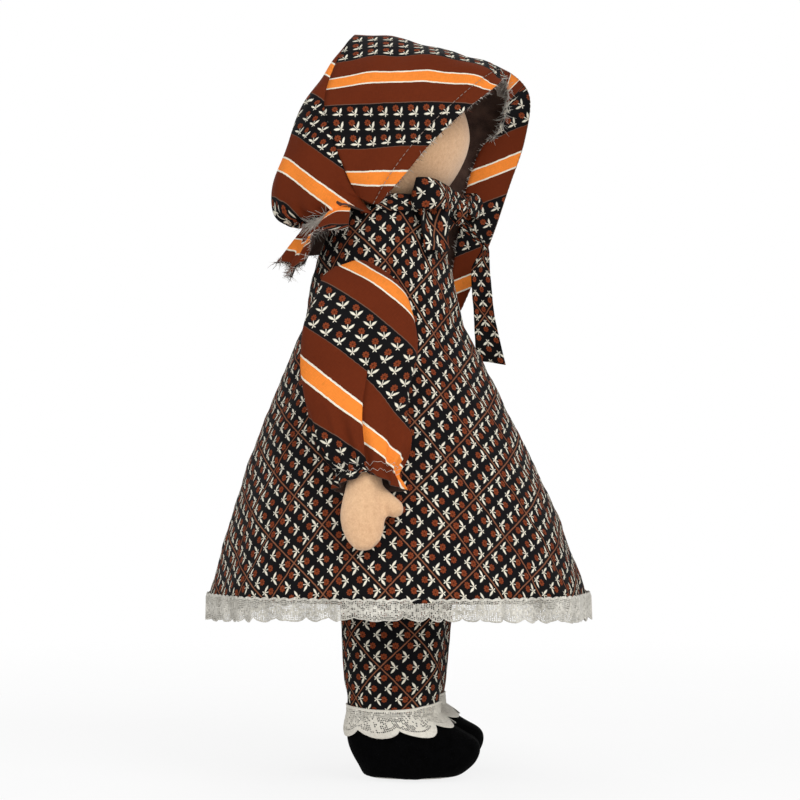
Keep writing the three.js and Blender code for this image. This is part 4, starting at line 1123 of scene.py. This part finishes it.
def add_arm(name, sign):
    down = np.concatenate([np.linspace(11, 179.5, 70), [181.2, 182.3, 183.1]])
    angle = ring_angles(40)
    middle, half, thick = (column(ARM, down, k)[:, None] for k in (1, 2, 3))
    inside = column(SLEEVE, np.minimum(down, SLEEVE_LENGTH), 3)[:, None] / 2
    out = lerp(inside, HAND_OUT, step(CUFF_DOWN, CUFF_DOWN + 30, down)[:, None])
    section = (out + thick / 2 * np.cos(angle), middle + half * np.sin(angle), down[:, None])
    local = np.stack(np.broadcast_arrays(*section), -1)
    bodies = [grid_object("arm_body", local, [FLESH], None, True, None, None, (0, -1)), add_thumb()]
    obj = joined(f"arm_{name}_cover", bodies, 1.7)
    points = np.zeros(len(obj.data.vertices) * 3)
    obj.data.vertices.foreach_get("co", points)
    local_points = points.reshape(-1, 3) / MM
    obj.data.vertices.foreach_set("co", (in_arm(local_points, sign) * MM).ravel())
    if sign < 0:
        obj.data.flip_normals()
    obj.data.update()
    inflate(obj, 1.0, 3.0)
    subdivide(obj)
    belongs(obj, f"arm_{name}", "flesh_cotton", f"arm_skin_{name}")


def add_thumb():
    """A round-ended thumb in the arm's own frame."""
    bend, thumb_radius, thumb_half = math.radians(48), 5.4, 6.25
    end = np.linspace(math.radians(80), 0, 6)
    cap = thumb_half + thumb_radius * np.sin(end)
    reach = np.concatenate([-cap, np.linspace(-thumb_half, thumb_half, 9)[1:-1], cap[::-1]])
    radius = thumb_radius * np.concatenate([np.cos(end), np.ones(7), np.cos(end[::-1])])
    along = np.array([0, math.sin(bend), math.cos(bend)])
    across = np.array([0, math.cos(bend), -math.sin(bend)])
    centre = np.array([HAND_OUT, 17, 154]) + reach[:, None] * along
    ring = ring_angles(20)[None, :, None]
    section = np.cos(ring) * np.array([1.0, 0, 0]) + np.sin(ring) * across
    thumb = centre[:, None] + radius[:, None, None] * section
    return grid_object("thumb_body", thumb, [FLESH], None, True, None, None, (0, -1))


def joined(name, parts, voxel):
    """One smooth closed body from overlapping ones."""
    mesh = bmesh.new()
    for part in parts:
        mesh.from_mesh(part.data)
        bpy.data.objects.remove(part)
    bmesh.ops.recalc_face_normals(mesh, faces=mesh.faces)
    data = bpy.data.meshes.new(name)
    mesh.to_mesh(data)
    mesh.free()
    obj = bpy.data.objects.new(name, data)
    scene.collection.objects.link(obj)
    remesh = obj.modifiers.new("remesh", "REMESH")
    remesh.mode, remesh.voxel_size = "VOXEL", voxel * MM
    soften = obj.modifiers.new("soften", "SMOOTH")
    soften.factor, soften.iterations = 0.5, 3
    shaped = obj.evaluated_get(bpy.context.evaluated_depsgraph_get())
    final = bpy.data.meshes.new_from_object(shaped)
    obj.modifiers.clear()
    obj.data = final
    final.materials.clear()
    final.materials.append(FLESH)
    final.polygons.foreach_set("use_smooth", [True] * len(final.polygons))
    return obj


# Head, neck and torso
def add_head():
    opening = math.asin(NECK_HOLE_RADIUS / HEAD_HALF_WIDTH)
    theta = np.linspace(opening, math.pi - 0.03, 44)
    angle = ring_angles(72)
    up = HEAD_Z - HEAD_HALF * np.cos(theta)
    front = lerp(HEAD_FRONT, -BODY_LEAN, np.maximum(np.cos(theta), 0))[:, None]
    girth = np.sin(theta)[:, None]
    side = HEAD_HALF_WIDTH * girth * np.cos(angle)
    grid = at(side, front - HEAD_HALF * girth * np.sin(angle), up[:, None])
    seam = np.exp(-((np.sin(angle) * 45) ** 2) / 3)[None, :] * 0.7
    grid = pushed(grid, soft_noise(grid, 40, 71) * 0.35 - seam * 0.6 - 0.5, True)
    obj = grid_object("head", grid, [FLESH], None, True, None, None, (0, -1))
    inflate(obj, 1.0, 3.0)
    subdivide(obj)
    belongs(obj, "head", "flesh_cotton", "head_skin")


def add_neck():
    ball, base = NECK_RADIUS + 2, 327.5
    start = math.asin(NECK_RADIUS / ball)
    turn_up = np.linspace(start, math.pi - 0.05, 20)
    radius = np.concatenate([[NECK_RADIUS] * 8, ball * np.sin(turn_up)])
    top = NECK_PIVOT_Z - ball * np.cos(turn_up)
    up = np.concatenate([np.linspace(base, top[0] - 1, 8), top])
    angle = ring_angles(40)
    grid = at(radius[:, None] * np.cos(angle), -BODY_LEAN - radius[:, None] * np.sin(angle), up[:, None])
    grid = pushed(grid, soft_noise(grid, 14, 75) * 0.15 - 0.1, True)
    obj = grid_object("neck_cover", grid, [FLESH], None, True, None, None, (0, -1))
    belongs(obj, "neck", "flesh_cotton", "neck")


def add_torso():
    base, least = 194.3, NECK_RADIUS + 0.3
    stations = [(149, least, least), (141, 33, 32), (122, 42, 41), (80, 49, 47), (18, 57, 43), (0, 48, 34)]
    rise, half, depth = np.hsplit(smooth(stations, 8), 3)
    angle = ring_angles(64)
    up = base + rise
    drawn_in = np.minimum(hollow(up), depth - least) * (np.sin(angle) < 0)
    grid = at(half * np.cos(angle), lean(up) - (depth - drawn_in) * np.sin(angle), up)
    grid = pushed(grid, soft_noise(grid, 30, 77) * 0.5 - 0.4, True)
    obj = grid_object("torso_cover", grid, [FLESH], None, True, None, None, (0, -1))
    belongs(obj, "torso", "flesh_cotton", "torso_skin")


# Bonnet
BRIM_SEAM = [
    (-0.88, -0.43, -0.8), (-0.93, -0.57, -0.5), (-0.94, -0.74, -0.04), (-0.85, -0.84, 0.41),
    (-0.49, -0.7, 0.99), (0, -0.52, 1.36), (0.49, -0.7, 0.99),
    (0.85, -0.84, 0.41), (0.94, -0.74, -0.04), (0.93, -0.57, -0.5), (0.88, -0.43, -0.8),
]
BRIM_FULL = [
    (-0.92, -0.32, -0.86), (-1.03, -0.25, -0.54), (-0.985, -0.1, -0.06), (-1.03, 0.02, 0.41),
    (-0.64, 0.34, 0.99), (0, 0.45, 1.21), (0.64, 0.42, 0.97),
    (1.03, 0.38, 0.41), (0.985, 0.2, -0.18), (1.06, 0.16, -0.68), (1.02, 0.2, -1.02),
]
BRIM_FOLD = [
    (-0.935, -0.23, -0.91), (-1.045, 0, -0.54), (-1.11, 0.36, -0.09), (-1.07, 0.72, 0.27),
    (-0.72, 1.16, 0.7), (0, 1.4, 0.88), (0.67, 1.69, 0.66),
    (1.03, 1.63, 0.12), (1.1, 1.42, -0.5), (1.0, 1.18, -1.22), (1.02, 0.79, -2.12),
]
BRIM_EDGE = [
    (-0.94, -0.16, -0.92), (-1.05, 0.16, -0.58), (-1.12, 0.53, -0.15), (-1.08, 0.89, 0.19),
    (-0.72, 1.32, 0.6), (0, 1.42, 0.79), (0.62, 1.34, 0.34),
    (0.9, 1.07, 0.02), (0.97, 0.89, -0.42), (0.93, 0.78, -0.95), (0.95, 0.64, -1.88),
]
BRIM_STEPS, BRIM_COLUMNS = 12, 26
FACING_START = (8, 26)
HEAD_CORE = at(0, HEAD_FRONT, HEAD_Z)


def head_points(shares):
    """A line around the head through points to the left, front and up in shares of the bonnet's size."""
    side, front, up = smooth(shares, BRIM_STEPS).T
    return at(side * BONNET_HALF_WIDTH, HEAD_FRONT + front * BONNET_HALF, HEAD_Z + up * BONNET_HALF)


SEAM_LINE, FULL_LINE, FOLD_LINE, EDGE_LINE = map(head_points, (BRIM_SEAM, BRIM_FULL, BRIM_FOLD, BRIM_EDGE))


def facing_uv(points):
    """Flat pattern of the far side's facing, whose stripes rise to the front."""
    rise, black_start, print_scale = math.radians(22), (44.8, 326.2), np.array([1, 1.06])
    front, up = -points[..., 1] - black_start[0], points[..., 2] - black_start[1]
    return np.stack(turn(front, up, rise), -1) * print_scale


def brim_grid():
    """Points of the brim from the crown seam over the fullest line to the fold and back to the raw edge, and
    the flat pattern's coordinates along and across the stripes."""
    bend = 2 * FULL_LINE - (SEAM_LINE + FOLD_LINE) / 2
    share = np.linspace(0, 1, BRIM_COLUMNS)[None, :, None]
    main = SEAM_LINE[:, None] * (1 - share) ** 2 + FOLD_LINE[:, None] * share**2
    main = main + bend[:, None] * 2 * share * (1 - share)
    back = unit(EDGE_LINE - FOLD_LINE)
    reach = np.linalg.norm(EDGE_LINE - FOLD_LINE, axis=1)[:, None, None]
    flap_share = np.linspace(0, 1, 9)[1:][None, :, None]
    start = np.minimum(2.6, reach * 0.3)
    crease = np.full_like(start, 0.15)
    distance = np.concatenate([crease, lerp(start, reach, flap_share)], 1)
    flap = FOLD_LINE[:, None] + back[:, None] * distance
    tangent = unit(np.gradient(FULL_LINE, axis=0) * [1, 0, 1])
    s_full = arc(FULL_LINE * [1, 0, 1], 0)
    s_main = s_full[:, None] + np.sum((main - FULL_LINE[:, None]) * tangent[:, None], -1)
    length = np.linalg.norm(np.diff(main, axis=1), axis=-1)
    forward = np.sqrt(np.maximum(length**2 - np.diff(s_main, axis=1) ** 2, 0))
    t_main = -SEAM_LINE[:, 1:2] + np.concatenate([np.zeros((len(main), 1)), np.cumsum(forward, 1)], 1)
    fold_uv = np.stack([t_main[:, -1], s_main[:, -1]], -1)
    fold_way = unit(np.gradient(FOLD_LINE, axis=0))
    fold_way_uv = unit(np.gradient(fold_uv, axis=0))
    out_uv = np.stack([fold_way_uv[:, 1], -fold_way_uv[:, 0]], -1)
    from_fold = flap - FOLD_LINE[:, None]
    along = np.sum(from_fold * fold_way[:, None], -1, keepdims=True)
    beyond = np.sqrt(np.maximum(np.sum(from_fold**2, -1, keepdims=True) - along**2, 0))
    flap_uv = fold_uv[:, None] + along * fold_way_uv[:, None] + beyond * out_uv[:, None]
    flap_uv = lerp(flap_uv, facing_uv(flap), step(*FACING_START, flap[..., :1]))
    uv = np.concatenate([np.stack([t_main, s_main], -1), flap_uv], 1)
    return np.concatenate([main, flap], 1), uv


def add_brim():
    grid, uv = brim_grid()
    rows, cols = grid.shape[:2]
    j = np.linspace(0, 1, cols)[None, :]
    soft = soft_noise(grid, 46, 81) * 0.9 + soft_noise(grid, 21, 82) * 0.35
    soft = soft * step(0, 0.2, j) + soft_noise(grid, 15, 83) * 0.3 * step(0.85, 1, j)
    from_fold = np.arange(cols) - (BRIM_COLUMNS - 0.5)
    soft = soft * -np.clip(from_fold / 3, -1, 1)
    grid = pushed(grid, soft, False, HEAD_CORE)
    black_middle_z, black_middle_v, middle = 394, 13.3, 12
    side, _, up = grid[:, middle].T
    nearest = np.argmin(np.where(side > 0, np.inf, np.abs(up - black_middle_z)))
    own = np.concatenate([np.zeros((rows, BRIM_COLUMNS)), step(*FACING_START, grid[:, BRIM_COLUMNS:, 0])], 1)
    uv = uv + np.array([0, black_middle_v - uv[nearest, middle, 1]]) * (1 - own)[..., None]
    cloths = [STRIPE, STRIPE_BACK_PAINTED_SHADE, STRIPE, RAW_BACK]
    obj = grid_object("bonnet_brim_cloth", grid, cloths, uv, False, HEAD_CORE)
    row, col = np.divmod(np.arange(len(obj.data.polygons)), cols - 1)
    raw = np.hypot((row - 68) / 10, (col - 27) / 8) < 1
    obj.data.polygons.foreach_set("material_index", np.where(raw, 2, 0))
    thicken(obj, CLOTH)
    belongs(obj, "head", "stripe_print_cotton", "bonnet_brim")
    normal = grid_normals(grid, False, HEAD_CORE)
    path = grid[:, BRIM_COLUMNS] + normal[:, BRIM_COLUMNS] * 0.35
    add_stitches("brim_topstitch", path, 2.6, 0.9, obj)
    edge_way = unit(grid[:, -1] - grid[:, -3])
    add_fray("brim_fray", grid[:, -1], edge_way, 420, (0.8, 3.2), 84, obj)
    frayed = slice(62, 82)
    add_fray("brim_lint", grid[frayed, -2], edge_way[frayed], 260, (1.5, 6.0), 86, obj, 1.0, LINT)


def along_path(path, marks, lengths):
    """Points on a path at the given lengths along it."""
    return np.stack([np.interp(marks, lengths, path[:, k]) for k in range(3)], -1)


def add_stitches(name, path, length, gap, parent):
    """Topstitching: short threads along a path with gaps between them."""
    spacing = 0.2
    lengths = arc(path, 0)
    fine = along_path(path, np.arange(0, lengths[-1], spacing), lengths)
    per, skip = int(length / spacing), int(gap / spacing)
    lines = [fine[start : start + per + 1 : 3] for start in range(0, len(fine) - per, per + skip)]
    obj = tubes(name, lines, 0.2, TOPSTITCH)
    obj.parent = parent


def add_fray(name, edge, way, count, lengths, seed, parent, spread=0.5, material=FRAY):
    """Loose thread ends along a raw edge."""
    rng = np.random.default_rng(seed)
    along = arc(edge, 0)
    t = np.linspace(0, 1, 5)[:, None]
    lines = []
    for place in rng.uniform(0, along[-1], count):
        start = along_path(edge, place, along)
        out = unit(along_path(way, place, along) + rng.normal(0, spread, 3))
        curl = rng.normal(0, 0.35, 3)
        reach = rng.uniform(*lengths)
        lines.append(start - out * 0.4 + out * reach * t + curl * reach * t**2)
    obj = tubes(name, lines, rng.uniform(0.09, 0.17, count), material, 3)
    obj.parent = parent


def nape_point(t, out=0.0, down=0.0):
    """A point on the gather, which runs round the nape from the right corner of the bonnet to the left."""
    angle = math.pi * t
    back = lerp(NAPE_CORNER_BACK, NAPE_BACK, np.sin(angle)) + out * np.sin(angle)
    side = -(NAPE_HALF_WIDTH + out) * np.cos(angle)
    return at(side, HEAD_FRONT - back, HEAD_Z - NAPE_DROP - down)


def crown_uv(grid):
    """Flat pattern of the crown: stripes that lie level at the back and fall to the front on both sides."""
    fall, middle_z, edge_v = math.radians(36), 380, 279
    side, front, up = grid[..., 0], -grid[..., 1], grid[..., 2]
    middle = grid.shape[1] // 2
    low = int(np.argmin(up[:, middle])) + 1
    back = np.interp(up, up[:low, middle][::-1], front[:low, middle][::-1])
    around = np.where(side < 0, 1, -1) * (front - back + np.abs(side))
    slope = fall * np.clip(around / 40, -1, 1)
    u = around * np.cos(slope) - (up - middle_z) * np.sin(slope)
    v = front * math.sin(fall) + up * math.cos(fall)
    return np.stack([u, v - edge_v], -1)


def add_crown():
    """The puffed back of the bonnet, in curves from the brim's seam out and down to the nape's gather."""
    t = np.linspace(0, 1, 2 * len(SEAM_LINE))
    seam = along_path(SEAM_LINE, t, np.linspace(0, 1, len(SEAM_LINE)))
    puff = np.sin(math.pi * t)
    corner = (1 - puff) ** 10
    crest = np.maximum((seam[:, 2] - HEAD_Z) / (seam[:, 2].max() - HEAD_Z), 0) ** 2
    start = seam + at(0, 0.8, 0)
    end = nape_point(t) + at(0, 13 * corner, -7 * corner)
    leave = start + at(0, -lerp(17, 10, crest) * (1 - corner), -7 * crest)
    arrive = end + at(0, -65 * puff, -42 * puff)
    w = np.linspace(0, 1, 72)[:, None]
    shares = ((1 - w) ** 3, 3 * w * (1 - w) ** 2, 3 * w**2 * (1 - w), w**3)
    grid = sum(share[..., None] * line for share, line in zip(shares, (start, leave, arrive, end)))
    uv = crown_uv(grid)
    pleats = np.cos(TAU * 13 * t + 1.5 * np.sin(5 * t))[None, :]
    fine = np.cos(TAU * 21 * t + 2)[None, :]
    tucked = step(0.9, 1, w)
    amount = 2.6 * pleats * step(0.55, 1, w) + 0.9 * fine * step(0.75, 1, w)
    amount = amount * (1 - 0.7 * tucked) - 1.4 * tucked
    amount = amount + soft_noise(grid, 42, 91) * 1.6 * np.sin(math.pi * w) + soft_noise(grid, 20, 92) * 0.5
    amount = amount - 0.9 * bell(w, 0, 0.03) + 0.6 * bell(w, 0.14, 0.08)
    grid = pushed(grid, amount, False, HEAD_CORE)
    obj = grid_object("bonnet_crown_cloth", grid, [STRIPE, STRIPE_BACK_PAINTED_SHADE], uv, False, HEAD_CORE)
    thicken(obj, CLOTH)
    belongs(obj, "head", "stripe_print_cotton", "bonnet_crown")


def add_frill():
    rows, cols = 26, 190
    t = np.linspace(0, 1, cols)[None, :]
    share = np.linspace(0, 1, rows)[:, None]
    drop = lerp(14, 35, np.sin(math.pi * t) ** 2) + 2.5 * np.sin(23 * t + 1)
    drop = drop + 14 * bell(t, 0.27, 0.08)
    fold = share * (3.2 * np.cos(TAU * 7 * t + 0.6 * np.sin(9 * t)) + 1.8 * np.cos(TAU * 11 * t + 1))
    fold = fold + (1 - share) * 1.2 * np.cos(TAU * 19 * t)
    fold = fold * step(0.04, 0.25, t) * step(0.96, 0.75, t)
    grid = nape_point(t, share * 20 + fold, 1.5 + share * drop)
    grid = grid + (soft_noise(grid, 16, 96) * 0.7)[..., None] * unit(grid - HEAD_CORE)
    around = arc(grid, 1)
    around = around - around[:, cols // 2 : cols // 2 + 1]
    uv = np.stack([around, lerp(-16, 8, step(0.08, 0.3, t)) - arc(grid, 0)], -1)
    obj = grid_object("bonnet_frill_cloth", grid, [STRIPE, STRIPE_BACK_PAINTED_SHADE], uv, False, HEAD_CORE)
    thicken(obj, CLOTH)
    belongs(obj, "head", "stripe_print_cotton", "bonnet_frill")
    way = unit(grid[-1] - grid[-4])
    add_fray("frill_fray", grid[-1], way, 520, (1.0, 4.5), 97, obj, 0.8)
    tuft = grid[5, int(0.16 * cols) : int(0.34 * cols)]
    hanging = unit(tuft - HEAD_CORE - [0, 0, 60])
    add_fray("frill_lint", tuft + unit(tuft - HEAD_CORE), hanging, 420, (2.0, 10.0), 99, obj, 0.7, LINT)


def add_nape_band():
    """Elastic inside the nape gather."""
    t = np.linspace(0.07, 0.93, 60)[None, :]
    down = np.linspace(0.5, 5, 4)[:, None]
    obj = grid_object("nape_band", nape_point(t, -1.2, down), [ELASTIC], None, False, HEAD_CORE)
    thicken(obj, CLOTH, 0)
    belongs(obj, "head", "elastic", "bonnet_nape_elastic")


# Ties and bow
KNOT = at(2, 35.3, 346)


def strip_object(name, centre, across, widths, node, core, curl=0.0, bulge=None):
    """A ribbon along centre points; across gives its width's direction at each, and bulge how far its middle
    is blown out."""
    share, print_half = np.linspace(-1, 1, 13), 9
    along = arc(centre, 0)
    normal = unit(np.cross(np.gradient(centre, axis=0), across))
    grid = centre[:, None] + across[:, None] * (share[None, :, None] * widths[:, None, None] / 2)
    grid = grid + normal[:, None] * (curl * (share**2)[None, :, None] * widths[:, None, None])
    if bulge is not None:
        grid = grid + bulge[:, None] * (1 - share**2)[None, :, None]
    grid = grid + normal[:, None] * (soft_noise(grid, 12, len(name)) * 0.45)[..., None]
    uv = np.stack(np.broadcast_arrays(along[:, None], share[None, :] * print_half), -1)
    obj = grid_object(name, grid, [TRELLIS], uv, False, core)
    thicken(obj, 0.8, 0, 0)
    belongs(obj, "neck", "trellis_print_cotton", node)


def add_ties():
    share, behind = np.linspace(0, 1, 46), math.radians(8)
    for name, sign in SIDES:
        angle = lerp(-behind if sign > 0 else math.pi + behind, math.pi / 2, share)
        radius = lerp(38.5, 41.3, share**6)
        up = lerp(348, 346, share)
        centre = at(radius * np.cos(angle), radius * np.sin(angle) - BODY_LEAN, up)
        across = np.broadcast_to([0, 0, 1.0], centre.shape)
        strip_object(f"tie_{name}", centre, across, lerp(10.5, 8, share**2), f"bonnet_tie_{name}", HEAD_CORE)


def add_loop(name, side, front, up, opening, width):
    """A puffed loop of ribbon standing on edge, drawn together at the knot."""
    length = math.hypot(side, front)
    way = at(side, front, 0) / length
    out = np.cross(way, [0, 0, 1.0])
    t = np.linspace(0, 1, 72)
    full = np.sin(math.pi * t)
    reach = length * full**0.75
    spread = -opening * np.sin(TAU * t) * full**0.3
    rise = up + width / 2 + 1.5 * full
    upward = np.array([0, 0, 1.0])
    centre = KNOT + at(0, 7, 0) + way * reach[:, None] + out * spread[:, None] + upward * rise[:, None]
    across = unit(np.broadcast_to(upward, centre.shape) + way * (0.25 * np.cos(math.pi * t))[:, None])
    widths = width * (0.4 + 0.66 * full**0.6)
    bulge = out * (-4 * np.sin(TAU * t) * full)[:, None]
    strip_object(name, centre, across, widths, f"bow_{name}", KNOT + way * length / 2, bulge=bulge)


def add_tail(name, stations):
    rows = smooth(stations, 10)
    centre = KNOT + at(rows[:, 0], rows[:, 1], rows[:, 2])
    t = np.linspace(0, 1, len(rows))
    across = unit(at(0.35 * np.sin(3 * t), np.ones(len(t)), 0.15 * np.sin(5 * t)))
    strip_object(name, centre, across, rows[:, 3], f"bow_{name}", HEAD_CORE, 0.06)


def add_short_tail():
    """The short tail, bunched under the loop against the bodice."""
    t = np.linspace(0, 1, 48)
    angle = np.radians(lerp(-3, 58, t))
    up = lerp(343, 331, t) + 1.5 * np.sin(7 * t)
    radius = column(BODICE, up, 1) + 5 + 1.8 * np.sin(13 * t + 1)
    front = lean(up) + (radius - hollow(up)) * np.cos(angle)
    centre = at(KNOT[0] * (1 - t) - radius * np.sin(angle), front, up)
    across = unit(at(0.2 * np.sin(9 * t), 0.3 * np.sin(6 * t), np.ones(len(t))))
    widths = lerp(8, 30, step(0, 0.4, t)) + 2 * np.sin(11 * t)
    strip_object("tail_right", centre, across, widths, "bow_tail_right", HEAD_CORE, -0.05)


def add_knot():
    cols, half, half_depth = 44, 9, 7
    theta = np.linspace(0.08, math.pi - 0.08, 30)[:, None]
    angle = ring_angles(cols)[None, :]
    folds = 1 + 0.09 * np.cos(7 * angle + 2.5 * np.cos(theta)) + 0.05 * np.cos(12 * angle + 1)
    girth = np.sin(theta) * folds
    front = half_depth * girth * np.sin(angle)
    grid = KNOT + at(half * girth * np.cos(angle), front, half * np.cos(theta))
    uv_angle = np.linspace(0, 1, cols + 1) * 52
    uv = np.stack(np.broadcast_arrays(uv_angle[None, :], -theta * 10), -1)
    obj = grid_object("knot", grid, [TRELLIS], uv, True, KNOT, None, (0, -1))
    belongs(obj, "neck", "trellis_print_cotton", "bow_knot")


# Hidden pieces
def finish_stuffing():
    """Loose fibre inside the covers."""
    for name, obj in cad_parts.items():
        if "stuffing" in name:
            obj.data.materials.clear()
            obj.data.materials.append(FIBRE)


add_dress()
add_hem_lace()
for side_name, side_sign in SIDES:
    add_leg(side_name, side_sign)
    add_boot(side_name, side_sign)
    add_ankle_lace(side_name, side_sign)
    add_arm(side_name, side_sign)
    add_sleeve(side_name, side_sign)
    add_shoulder(side_name, side_sign)
add_torso()
add_neck()
add_head()
add_brim()
add_crown()
add_frill()
add_nape_band()
add_ties()
add_loop("loop_right", -45, -27, -4, 7, 18)
add_loop("loop_left", 34, 0, -4, 5, 17)
add_short_tail()
add_tail(
    "tail_left",
    [
        (0, 0, -3, 8),
        (7, 9, -13, 6),
        (17, 17, -21, 4.5),
        (26, 14, -34, 12),
        (33, 16, -62, 13.5),
        (39, 20, -92, 19),
    ],
)
add_knot()
finish_stuffing()
